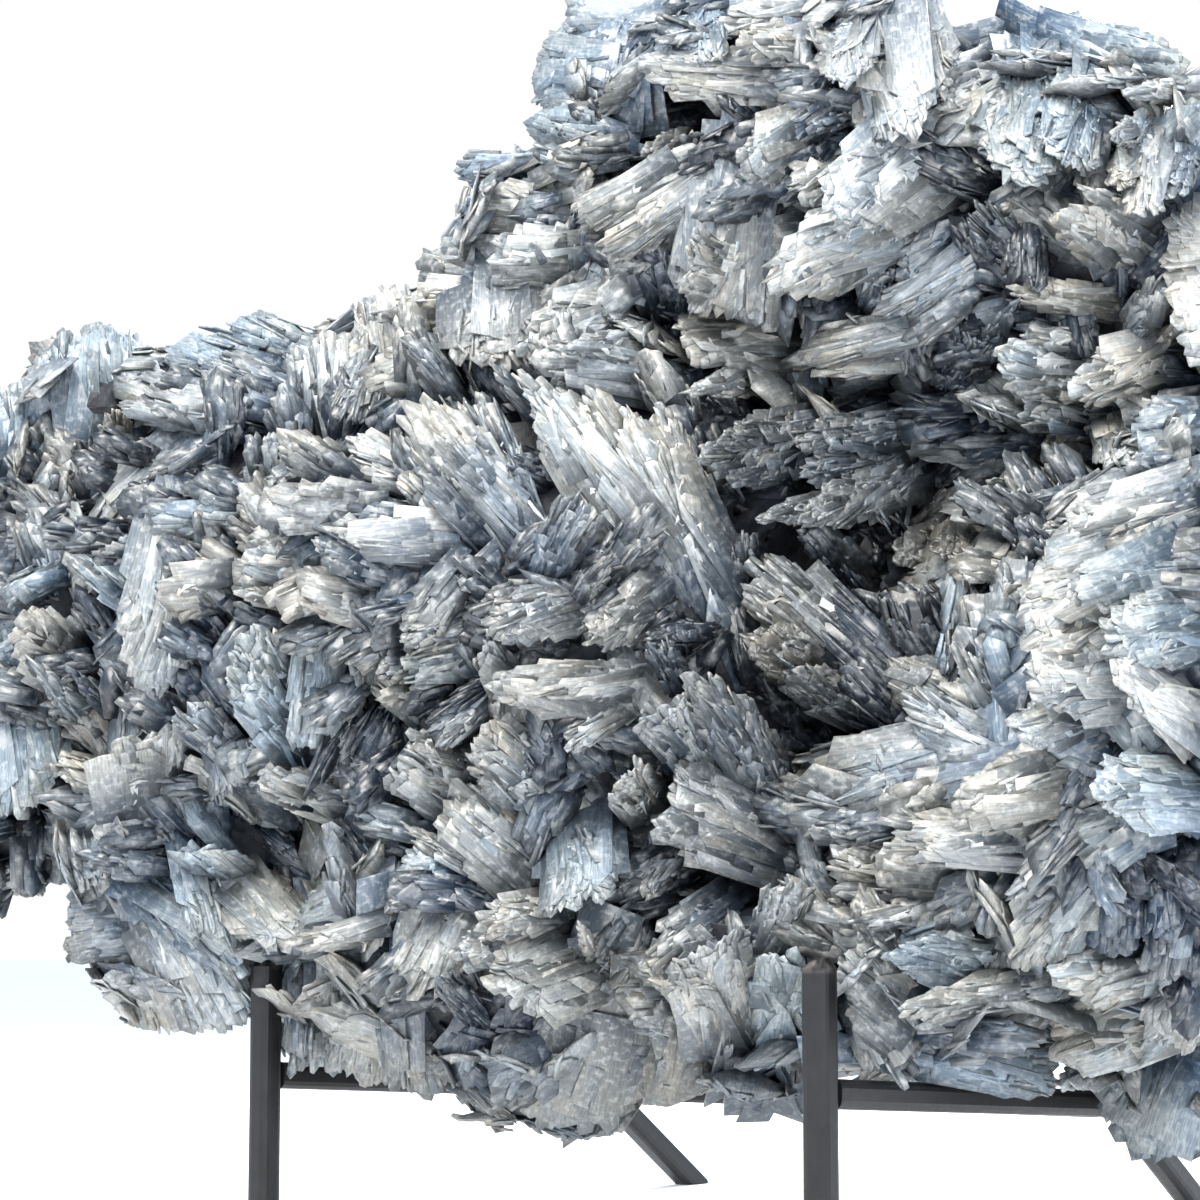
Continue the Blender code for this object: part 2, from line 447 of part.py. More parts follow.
# Outline of each form: along the length from root 0 to tip 1, and across from -0.5 to 0.5.
# The tip end of each is stepped, as the ends of plates that grew side by side are.
OUTLINES = {
    "lobe": ((0.0, -0.36), (0.55, -0.50), (0.92, -0.30), (1.0, 0.10), (0.70, 0.48), (0.0, 0.40)),
    "feather": ((0.0, -0.22), (0.78, -0.50), (1.0, -0.12), (0.90, 0.16), (0.72, 0.47), (0.0, 0.24)),
    "lath": ((0.0, -0.38), (0.88, -0.50), (1.0, -0.10), (0.84, 0.50), (0.0, 0.40)),
    "leaf": ((0.0, -0.28), (0.50, -0.50), (1.0, 0.0), (0.60, 0.46)),
    "plate": ((0.0, -0.44), (0.96, -0.50), (0.90, 0.48), (0.0, 0.46)),
}


class Fan:
    """One crystal group: its root, its three axes and its sizes in mm, seen from the camera."""

    def __init__(self, form, root, tip, outward, width, roll, flip):
        self.form = form
        self.root = root
        self.along = (tip - root).normalized()
        self.length = (tip - root).length
        self.side = self.along.cross(outward).normalized()
        if flip:
            self.side.negate()
        self.out = (outward - self.along * outward.dot(self.along)).normalized()
        self.width = width
        self.roll = math.radians(roll)
        # A group that shows the edges of its plates is deeper than one that shows their faces.
        thickness = width * THICKNESS_SHARE * (1.25 - roll / 180)
        self.thickness = min(max(thickness, LEAST_THICKNESS), MOST_THICKNESS)


def front_fans(chance):
    """The groups of the table, each laid on the lumps behind its place in the picture."""
    fans = []
    for group in GROUPS:
        root_away = nearest_away(group.root)
        root = ray(group.root) * (root_away + ROOT_SINK)
        tip = ray(group.tip) * (nearest_away(group.tip) - group.out)
        outward = -ray(group.root).normalized()
        width = group.width * root_away / FOCAL
        flip = chance.random() < 0.5
        fans.append(Fan(group.form, root, tip, outward, width, group.roll, flip))
    return fans


def lump_frame(lump):
    return ray(lump.place) * lump.away, half_sizes(lump)


def inside_lumps(point, margin):
    """Whether a point lies in any lump made smaller by the margin, in mm."""
    for lump in LUMPS:
        centre, half = lump_frame(lump)
        gap = point - centre
        share = math.sqrt(sum((gap[i] / max(half[i] - margin, 1.0)) ** 2 for i in range(3)))
        if share < 1:
            return True
    return False


def picture_place(point):
    """The place in the picture of a point seen from the camera."""
    depth = point.y * math.cos(PITCH) + point.z * math.sin(PITCH)
    rise = point.z * math.cos(PITCH) - point.y * math.sin(PITCH)
    return (
        PICTURE_CENTRE + FOCAL * point.x / depth,
        PICTURE_CENTRE - FOCAL * rise / depth,
    )


def shows_past_outline(point):
    """Whether a point would show in the picture where the crystal has none."""
    place = picture_place(point)
    in_picture = all(0 < value < 2 * PICTURE_CENTRE for value in place)
    return in_picture and surface_away(place) is None


def back_fans(chance):
    """Groups on the sides, top, underside and back, which the picture doesn't show."""
    fans = []
    tries = 0
    while len(fans) < BACK_FANS and tries < 4000:
        tries += 1
        lump = LUMPS[chance.randrange(len(LUMPS))]
        centre, half = lump_frame(lump)
        turn = chance.uniform(0, 2 * math.pi)
        rise = chance.uniform(-0.9, 1)
        ring = math.sqrt(1 - rise * rise)
        unit = Vector((ring * math.cos(turn), ring * math.sin(turn), rise))
        if unit.y < 0.15:
            continue
        spot = centre + Vector((unit.x * half.x, unit.y * half.y, unit.z * half.z))
        outward = Vector((unit.x / half.x, unit.y / half.y, unit.z / half.z)).normalized()
        if inside_lumps(spot + outward * 3, 0):
            continue
        if any((spot - fan.root).length < BACK_SPACING for fan in fans):
            continue
        swing = Vector((chance.gauss(0, 1), chance.gauss(0, 1), chance.gauss(0, 1)))
        along = (swing - outward * swing.dot(outward)).normalized()
        lean = math.radians(chance.uniform(14, 34))
        along = along * math.cos(lean) + outward * math.sin(lean)
        length = chance.uniform(*BACK_LENGTH)
        width = chance.uniform(*BACK_WIDTH)
        form = chance.choice(("feather", "feather", "lath", "lobe", "plate"))
        root = spot - outward * ROOT_SINK
        flip = chance.random() < 0.5
        roll = chance.uniform(0, 90)
        tip = root + along * length
        if view_to_stand(tip).z < LOWEST_BACK_TIP or shows_past_outline(tip):
            continue
        fans.append(Fan(form, root, tip, outward, width, roll, flip))
    return fans


def row_point(point):
    """A point seen from the camera, in metres in the stand's axes."""
    return view_to_stand(point) * MILLIMETRE


def clear_scene():
    for obj in list(bpy.data.objects):
        bpy.data.objects.remove(obj)
    for group in list(bpy.data.collections):
        bpy.data.collections.remove(group)


def collection(name, hidden):
    group = bpy.data.collections.new(name)
    bpy.context.scene.collection.children.link(group)
    group.hide_render = hidden
    return group


def plain_material(name, colour, metallic, roughness):
    material = bpy.data.materials.new(name)
    material.use_nodes = True
    shader = material.node_tree.nodes["Principled BSDF"]
    shader.inputs["Base Color"].default_value = (*colour, 1)
    shader.inputs["Metallic"].default_value = metallic
    shader.inputs["Roughness"].default_value = roughness
    material.diffuse_color = (*colour, 1)
    return material


def object_from(name, mesh_maker, group, cutter=False):
    """A mesh object from a bmesh, linked to a collection."""
    mesh = bpy.data.meshes.new(name)
    bmesh.ops.recalc_face_normals(mesh_maker, faces=mesh_maker.faces)
    mesh_maker.to_mesh(mesh)
    mesh_maker.free()
    obj = bpy.data.objects.new(name, mesh)
    group.objects.link(obj)
    if cutter:
        obj.hide_render = True
        obj.display_type = "WIRE"
    return obj


def lump_object(name, lump, level, chance, group):
    """A faceted lump: a ball of triangles pulled to its half sizes and a little uneven."""
    maker = bmesh.new()
    bmesh.ops.create_icosphere(maker, subdivisions=level, radius=1.0)
    turn = Matrix.Rotation(chance.uniform(0, math.pi), 4, "Z")
    turn = turn @ Matrix.Rotation(chance.uniform(0, math.pi), 4, "X")
    bmesh.ops.transform(maker, matrix=turn, verts=maker.verts)
    centre, half = lump_frame(lump)
    for vert in maker.verts:
        swell = chance.uniform(*LUMP_SWELL)
        local = Vector((vert.co.x * half.x, vert.co.y * half.y, vert.co.z * half.z)) * swell
        vert.co = row_point(centre + local)
    return object_from(name, maker, group, cutter=True)


def fan_object(name, fan, group):
    """A crystal group as a thick plate of its outline, drawn in a little towards its front."""
    maker = bmesh.new()
    back = fan.root - fan.out * (fan.thickness / 2)
    ring = []
    for along, across in OUTLINES[fan.form]:
        point = back + fan.along * (along * fan.length) + fan.side * (across * fan.width)
        ring.append(maker.verts.new(row_point(point)))
    plate = maker.faces.new(ring)
    grown = bmesh.ops.extrude_face_region(maker, geom=[plate], use_keep_orig=True)["geom"]
    middle = row_point(back + fan.along * (fan.length * FRONT_CENTRE))
    rise = row_point(back + fan.out * fan.thickness) - row_point(back)
    for vert in [item for item in grown if isinstance(item, bmesh.types.BMVert)]:
        vert.co = middle + (vert.co - middle) * FRONT_SHRINK + rise
    bmesh.ops.triangulate(maker, faces=maker.faces)
    return object_from(name, maker, group, cutter=True)


def boolean(obj, operation, target):
    """Applies an exact Boolean with an object or a collection, so that later steps see it."""
    modifier = obj.modifiers.new(operation.title(), "BOOLEAN")
    modifier.operation = operation
    modifier.solver = "EXACT"
    if isinstance(target, bpy.types.Collection):
        modifier.operand_type = "COLLECTION"
        modifier.collection = target
    else:
        modifier.object = target
    bpy.context.view_layer.update()
    graph = bpy.context.evaluated_depsgraph_get()
    mesh = bpy.data.meshes.new_from_object(obj.evaluated_get(graph))
    obj.modifiers.clear()
    old = obj.data
    obj.data = mesh
    bpy.data.meshes.remove(old)


def stand_point(across, back, up):
    return Vector((across, back, up)) * MILLIMETRE


def bar_object(name, start, end, grow, group, cutter=False):
    """A square bar with rounded long corners between two points in metres."""
    along = end - start
    maker = bmesh.new()
    bmesh.ops.create_cube(maker, size=1.0)
    side = (BAR + 2 * grow) * MILLIMETRE
    length = along.length + 2 * grow * MILLIMETRE
    for vert in maker.verts:
        vert.co = Vector((vert.co.x * side, vert.co.y * side, vert.co.z * length))
    upright = [e for e in maker.edges if abs((e.verts[0].co - e.verts[1].co).z) > length / 2]
    bmesh.ops.bevel(
        maker,
        geom=upright,
        offset=BAR_CORNER * MILLIMETRE,
        segments=BAR_CORNER_STEPS,
        profile=0.5,
        affect="EDGES",
    )
    aim = along.to_track_quat("Z", "Y").to_matrix().to_4x4()
    if abs(along.normalized().z) > 0.99:
        aim = Matrix.Identity(4)
    place = Matrix.Translation((start + end) / 2) @ aim
    bmesh.ops.transform(maker, matrix=place, verts=maker.verts)
    return object_from(name, maker, group, cutter)


def box_cutter(name, centre, sides, tilt, group):
    maker = bmesh.new()
    bmesh.ops.create_cube(maker, size=1.0)
    for vert in maker.verts:
        vert.co = Vector((vert.co.x * sides[0], vert.co.y * sides[1], vert.co.z * sides[2]))
    bmesh.ops.transform(maker, matrix=Matrix.Translation(centre) @ tilt, verts=maker.verts)
    return object_from(name, maker, group, cutter=True)


def bar_ends():
    """Each bar's two ends on its centre line, in metres in the stand's axes."""
    half = BAR / 2
    reach = half + WELD_GAP
    right = UPRIGHT_SPACING
    drop = (RAIL_FRONT_HEIGHT - RAIL_REAR_HEIGHT) / RAIL_LENGTH
    front = RAIL_FRONT_HEIGHT - drop * reach
    rear = RAIL_REAR_HEIGHT
    foot_back = RAIL_LENGTH + LEG_REACH
    leg_start = RAIL_LENGTH + half + WELD_GAP
    ends = {}
    for hand, across in (("left", 0.0), ("right", right)):
        ends["front_upright_" + hand] = (
            stand_point(across, 0, 0),
            stand_point(across, 0, UPRIGHT_TOP),
        )
        ends["side_rail_" + hand] = (
            stand_point(across, reach, front),
            stand_point(across, RAIL_LENGTH + half, rear),
        )
        ends["rear_leg_" + hand] = (
            stand_point(across, leg_start + half, rear - half * 0.4),
            stand_point(across, foot_back, -half * 0.4),
        )
    ends["cross_bar"] = (
        stand_point(reach, RAIL_LENGTH, rear),
        stand_point(right - reach, RAIL_LENGTH, rear),
    )
    return ends


def ground_top(obj, lean):
    """Grinds the top end of an upright to a low dome, leaning to one side."""
    maker = bmesh.new()
    maker.from_mesh(obj.data)
    maker.faces.ensure_lookup_table()
    top = max(maker.faces, key=lambda face: (face.normal.z > 0.9) * face.calc_center_median().z)
    centre = top.calc_center_median()
    grown = bmesh.ops.extrude_face_region(maker, geom=[top])["geom"]
    bmesh.ops.delete(maker, geom=[top], context="FACES_ONLY")
    for vert in [item for item in grown if isinstance(item, bmesh.types.BMVert)]:
        flat = vert.co - centre
        vert.co = centre + flat * 0.42 + lean * MILLIMETRE
        vert.co.z += GROUND_OFF * MILLIMETRE
    bmesh.ops.recalc_face_normals(maker, faces=maker.faces)
    maker.to_mesh(obj.data)
    maker.free()


def keep_largest(obj):
    """Takes away chips that a cut left loose, and points that fell together."""
    maker = bmesh.new()
    maker.from_mesh(obj.data)
    bmesh.ops.remove_doubles(maker, verts=maker.verts, dist=0.00002)
    bmesh.ops.dissolve_limit(
        maker, angle_limit=FLAT_ANGLE, verts=maker.verts, edges=maker.edges
    )
    bmesh.ops.dissolve_degenerate(maker, edges=maker.edges, dist=0.00002)
    bmesh.ops.triangulate(maker, faces=maker.faces)
    left = set(maker.verts)
    pieces = []
    while left:
        start = left.pop()
        piece = {start}
        edge_of = [start]
        while edge_of:
            vert = edge_of.pop()
            for edge in vert.link_edges:
                other = edge.other_vert(vert)
                if other in left:
                    left.discard(other)
                    piece.add(other)
                    edge_of.append(other)
        pieces.append(piece)
    largest = max(pieces, key=len)
    loose = [vert for piece in pieces if piece is not largest for vert in piece]
    bmesh.ops.delete(maker, geom=loose, context="VERTS")
    maker.to_mesh(obj.data)
    maker.free()


def main():
    clear_scene()
    parts = collection("barite_crystal_cluster", False)
    lumps = collection("lumps", True)
    hollows = collection("hollows", True)
    groups = collection("groups", True)
    seats = collection("seats", True)
    barite = plain_material("barite", (0.55, 0.62, 0.66), 0.0, 0.35)
    black_paint = plain_material("black_paint", (0.02, 0.02, 0.022), 0.2, 0.45)

    chance = random.Random(SEED)
    for index, fan in enumerate(front_fans(chance) + back_fans(chance)):
        if fan.width > LEAST_WIDTH:
            fan_object(f"group_{index}", fan, groups)
    for index, lump in enumerate(LUMPS[1:]):
        lump_object(f"lump_{index}", lump, LUMP_LEVEL, chance, lumps)
    for index, hollow in enumerate(HOLLOWS):
        lump_object(f"hollow_{index}", hollow, LUMP_LEVEL, chance, hollows)
    crystal = lump_object("barite_cluster", LUMPS[0], LUMP_LEVEL, chance, parts)
    crystal.hide_render = False
    crystal.display_type = "TEXTURED"

    ends = bar_ends()
    for name, (start, end) in ends.items():
        bar_object("seat_" + name, start, end, SEAT_GAP, seats, cutter=True)
    boolean(crystal, "UNION", lumps)
    boolean(crystal, "DIFFERENCE", hollows)
    boolean(crystal, "UNION", groups)
    boolean(crystal, "DIFFERENCE", seats)
    keep_largest(crystal)
    crystal.data.materials.clear()
    crystal.data.materials.append(barite)

    flat = Matrix.Identity(4)
    half = BAR / 2 * MILLIMETRE
    below = box_cutter("floor_cut", Vector((0, 0, -0.05)), (2, 2, 0.1), flat, seats)
    rail_end = (RAIL_LENGTH + WELD_GAP) * MILLIMETRE + half
    ahead = box_cutter("rail_end_cut", Vector((0, rail_end - 0.1, 0.05)), (2, 0.2, 0.3), flat, seats)
    bars = []
    for name, (start, end) in ends.items():
        if "upright" in name:
            end = end - Vector((0, 0, GROUND_OFF * MILLIMETRE))
        bar = bar_object(name, start, end, 0, parts)
        if "rear_leg" in name:
            boolean(bar, "DIFFERENCE", below)
            boolean(bar, "DIFFERENCE", ahead)
        if "upright" in name:
            ground_top(bar, Vector((0.8, 0.6, 0)) if name.endswith("right") else Vector((0, 0.4, 0)))
        bar.data.materials.clear()
        bar.data.materials.append(black_paint)
        bars.append(bar)

    nodes = [crystal] + bars
    corners = [vert.co for obj in nodes for vert in obj.data.vertices]
    low = Vector((min(c.x for c in corners), min(c.y for c in corners), 0))
    high = Vector((max(c.x for c in corners), max(c.y for c in corners), 0))
    shift = Matrix.Translation(-(low + high) / 2)
    for obj in nodes:
        obj.data.transform(shift)
    print("crystal triangles", len(crystal.data.polygons))


main()
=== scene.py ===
"""Blue barite crystal cluster on a welded square-bar stand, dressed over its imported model.

Lengths are worked out in millimetres and turned into metres once, in row_point.
Positions on the crystal are given as the place they have in a picture of the front,
1200 wide and 1200 high, taken by a pinhole camera whose place is given below.
"""

import collections
import functools
import json
import math
import random

import bmesh
import bpy
import numpy as np
from mathutils import Matrix, Vector

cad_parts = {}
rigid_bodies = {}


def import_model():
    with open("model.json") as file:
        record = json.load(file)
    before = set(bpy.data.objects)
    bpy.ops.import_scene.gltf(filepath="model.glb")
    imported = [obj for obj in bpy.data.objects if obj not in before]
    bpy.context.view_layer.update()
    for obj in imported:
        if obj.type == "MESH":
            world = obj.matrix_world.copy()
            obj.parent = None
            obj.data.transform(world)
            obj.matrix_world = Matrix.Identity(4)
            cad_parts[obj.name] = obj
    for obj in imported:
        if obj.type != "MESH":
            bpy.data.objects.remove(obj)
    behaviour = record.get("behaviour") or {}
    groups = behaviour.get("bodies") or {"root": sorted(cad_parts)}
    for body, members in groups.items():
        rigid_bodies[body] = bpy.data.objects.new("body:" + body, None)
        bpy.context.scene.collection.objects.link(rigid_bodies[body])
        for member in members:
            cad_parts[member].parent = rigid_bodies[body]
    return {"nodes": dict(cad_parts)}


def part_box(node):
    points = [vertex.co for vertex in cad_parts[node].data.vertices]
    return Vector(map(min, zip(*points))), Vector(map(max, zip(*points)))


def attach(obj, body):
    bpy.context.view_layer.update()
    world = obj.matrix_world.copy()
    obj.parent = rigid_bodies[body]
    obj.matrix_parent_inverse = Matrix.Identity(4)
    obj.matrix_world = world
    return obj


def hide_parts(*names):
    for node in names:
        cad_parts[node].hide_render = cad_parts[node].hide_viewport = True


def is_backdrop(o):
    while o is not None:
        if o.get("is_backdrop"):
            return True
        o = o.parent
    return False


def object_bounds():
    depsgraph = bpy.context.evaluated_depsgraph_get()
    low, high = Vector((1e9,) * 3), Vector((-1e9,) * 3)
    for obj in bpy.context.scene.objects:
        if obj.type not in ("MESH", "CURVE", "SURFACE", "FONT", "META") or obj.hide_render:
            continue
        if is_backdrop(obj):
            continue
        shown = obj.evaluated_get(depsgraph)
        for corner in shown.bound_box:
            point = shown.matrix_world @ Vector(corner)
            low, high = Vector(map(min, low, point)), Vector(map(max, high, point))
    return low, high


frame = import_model()
CAD_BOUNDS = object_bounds()

# Picture and camera: focal length and horizon in picture units, height in mm.
FOCAL = 3000.0
PICTURE_CENTRE = 600.0
HORIZON = 950.0
CAMERA_HEIGHT = 98.0
SENSOR_WIDTH = 36.0

# Stand, in mm.
STAND_YAW = math.radians(37.0)
RIGHT_UPRIGHT_ACROSS = 68.0
RIGHT_UPRIGHT_AWAY = 937.0
UPRIGHT_SPACING = 234.0
UPRIGHT_TOP = 95.5

# Crystal groups, in mm, as in the solid that they stand for.
SEED = 8248
ROOT_SINK = 12.0
LEAST_THICKNESS = 7.0
MOST_THICKNESS = 19.0
THICKNESS_SHARE = 0.36
BACK_FANS = 50
BACK_LENGTH = (34.0, 66.0)
BACK_WIDTH = (18.0, 40.0)
BACK_SPACING = 24.0
LOWEST_BACK_TIP = 64.0
MILLIMETRE = 0.001

# Blades, in mm unless a name says otherwise: the area of front to a blade, then the rim to one.
FRONT_BLADES = (9.4, 3.0)
TUFT_BLADES = (33.0, 7.0)
BACK_BLADES = (80.0, 11.5)
# Grid of a group's body: across, then along.
FRONT_CELL = (2.5, 6.5)
TUFT_CELL = (3.0, 7.0)
BACK_CELL = (4.0, 8.0)
# A group's body: the ridges and roughness of its front, and its ragged sides and end.
RIDGE_STEP = 0.35
RIDGE_SHARE = 0.6
BODY_ROUGHNESS = 0.35
BODY_MOTTLE = 0.08
BODY_PALENESS = 0.45
# Painted shade behind a group's body: how far along the point behind is, and the share of light painted into
# it.
BACK_SHADE = (0.3, 0.5)
CELL_JITTER = (0.2, 0.3)
RAGGED_END = 0.045
RAGGED_SIDE = (-0.14, 0.03)
MOST_ACROSS = 0.499
GRAIN_REACH = 500.0
# The share of plates that show their faces, in groups of roll 0 and of roll 90.
FACE_SHARE = (0.35, 0.85)
# Plates edge on: length as a share of the group's, up to its longest, and what is added in mm.
EDGE_LENGTH = (0.2, 0.5)
EDGE_LONGEST_GROUP = 55.0
LEAST_EDGE_LENGTH = 4.0
EDGE_WIDTH = (2.6, 5.0)
EDGE_THICKNESS = (0.5, 1.1)
EDGE_LIFT = (0.1, 1.5)
# Plates with their faces showing: the same for length and width, and the scale of small to large.
FACE_LENGTH = (0.28, 0.44)
FACE_WIDTH = (0.20, 0.32)
FACE_GROUP = (60.0, 38.0)
LEAST_FACE = (3.0, 1.5)
FACE_SCALE = (0.55, 0.95)
FACE_THICKNESS = (0.45, 0.9)
# Plates round the rim, given the same way.
RIM_LENGTH = (0.2, 0.36)
RIM_WIDTH = (0.12, 0.26)
RIM_GROUP = (50.0, 34.0)
LEAST_RIM = (3.0, 1.0)
EDGE_TURN = math.radians(16.0)
FACE_TURN = math.radians(14.0)
RIM_TURN = math.radians(16.0)
RIM_REACH = 5.0
FACE_BOW = 0.06
GROUP_DOME = math.radians(50.0)
# A group's front: how it drops at its sides, tip and root, and how it widens from its root.
SIDE_DROP = 0.85
SIDE_ROUNDNESS = 2.6
TIP_DROP = 0.65
ROOT_HEIGHT = 0.7
ROOT_RISE = 0.6
ROOT_SPREAD = 0.4
SPREAD_SPEED = 1.7
FLOW_STEP = 0.15
REACH_STEPS = 40
LEAST_REACH = 0.6
GROUP_LEAN = math.radians(22.0)
FLATNESS = 0.8
# Painted shade: how much darker a group's colour is painted where its front drops low, at its sides and end.
LOW_PAINTED_SHADE = 0.7
BODY_LIGHT = 0.85
FRONT_LIGHT = 1.07
TUFT_LIGHT = 0.8
EDGE_PALENESS = 0.42
LEANING_LENGTH = 42.0
MILKY_GROWTH = 0.95
FRONT_WIDTH_SCALE = 1.1
BAR_CLEARANCE = 1.2
PAST_SOLID = 9.0
LOWEST_BLADE = 27.0
OUTLINE_JITTER = 0.045
ALONG_JITTER = 0.7
BOW_JITTER = 0.012
BLADE_DRIFT = 0.035
# Places on a group, along and across, that stay inside the crystal's outline in the picture.
OUTER_PLACES = ((0.5, -0.4), (0.5, 0.4), (0.8, -0.3), (0.8, 0.3), (0.88, 0.0))
# How much the colour drifts from cool to warm over the crystal, and over what length in mm.
DRIFT = 0.06
DRIFT_LENGTH = 120.0

# Small groups that fill the gaps between the table's, in mm unless a name says otherwise.
COVERED_SHARE = 0.36
TUFT_SINK = 8.0
SINK_SHARE = (0.6, 1.2)
TUFT_CURL = 0.05
GAP_SINK = 8.0
# Front ones: their spacing and the lower right end of their field in picture units.
FRONT_TUFT_STEP = 25.0
TUFTS_TO = (1380, 1250)
FRONT_TUFT_SWING = 0.35
FRONT_TUFT_LEAN = (2, 20)
FRONT_TUFT_LENGTH = (18.0, 38.0)
FRONT_TUFT_WIDTH = (9.0, 19.0)
BACK_TUFT_SPACING = 15.0
BACK_TUFT_LEAN = (4, 26)
BACK_TUFT_TRIES = 7
TRY_SHRINK = 0.09
SPOTS_PER_TUFT = 2.2
MOST_FACING = -0.45
BACK_TUFT_LENGTH = (26.0, 50.0)
BACK_TUFT_WIDTH = (18.0, 34.0)

# Light of the surroundings on the object, and of the floor by itself.
WORLD_LIGHT = 0.83
FLOOR_GLOW = 0.35

# Core that carries the blades, in mm.
CORE_LEVEL = 3
CORE_SHRINK = 8.0

# Lumps that the crystals stand on. Place and reach are in picture units, across and down.
# Away is the distance from the camera and deep the half size front to back, both in mm.
Lump = collections.namedtuple("Lump", "place away reach deep")

LUMPS = (
    Lump(place=(600, 610), away=1085, reach=(330, 330), deep=105),
    Lump(place=(330, 600), away=1120, reach=(230, 250), deep=92),
    Lump(place=(90, 620), away=1172, reach=(150, 235), deep=78),
    Lump(place=(255, 840), away=1160, reach=(185, 165), deep=82),
    Lump(place=(520, 930), away=1085, reach=(190, 172), deep=92),
    Lump(place=(745, 930), away=1072, reach=(165, 160), deep=92),
    Lump(place=(950, 890), away=1052, reach=(190, 175), deep=88),
    Lump(place=(1090, 760), away=1020, reach=(210, 270), deep=110),
    Lump(place=(1215, 620), away=985, reach=(150, 215), deep=88),
    Lump(place=(1060, 260), away=1040, reach=(185, 205), deep=92),
    Lump(place=(790, 190), away=1060, reach=(235, 195), deep=92),
    Lump(place=(560, 300), away=1085, reach=(125, 150), deep=76),
    Lump(place=(620, 95), away=1085, reach=(82, 90), deep=56),
    Lump(place=(400, 430), away=1110, reach=(115, 130), deep=76),
    Lump(place=(1160, 1050), away=1062, reach=(72, 92), deep=52),
    Lump(place=(110, 430), away=1152, reach=(100, 92), deep=60),
    Lump(place=(250, 405), away=1140, reach=(85, 72), deep=60),
    Lump(place=(1262, 430), away=1012, reach=(98, 280), deep=88),
    Lump(place=(800, 450), away=1102, reach=(235, 265), deep=64),
    Lump(place=(24, 796), away=1168, reach=(86, 92), deep=50),
    Lump(place=(540, 1046), away=1092, reach=(118, 92), deep=56),
    Lump(place=(962, 110), away=1052, reach=(72, 66), deep=46),
    Lump(place=(862, 716), away=1092, reach=(120, 100), deep=52),
    Lump(place=(1082, 500), away=1088, reach=(112, 122), deep=56),
    Lump(place=(905, 1006), away=1052, reach=(92, 76), deep=42),
    Lump(place=(180, 950), away=1150, reach=(100, 76), deep=50),
    Lump(place=(332, 985), away=1108, reach=(72, 88), deep=38),
    Lump(place=(892, 998), away=988, reach=(80, 88), deep=36),
    Lump(place=(930, 1038), away=1142, reach=(92, 62), deep=40),
)

# Hollows sunk in the front, given the same way.
HOLLOWS = (
    Lump(place=(850, 545), away=955, reach=(165, 112), deep=62),
    Lump(place=(735, 875), away=975, reach=(62, 30), deep=34),
    Lump(place=(700, 110), away=985, reach=(110, 45), deep=36),
    Lump(place=(170, 455), away=1085, reach=(48, 32), deep=30),
    Lump(place=(1085, 905), away=952, reach=(60, 50), deep=30),
)

# Crystal groups that the picture shows. Tip, root and width are in picture units, roll is
# in degrees and out, how far the tip stands off the lumps, in mm. Roll 0 shows the edges
# of the plates and roll 90 shows their broad faces.
Group = collections.namedtuple("Group", "form tip root width roll out tone")

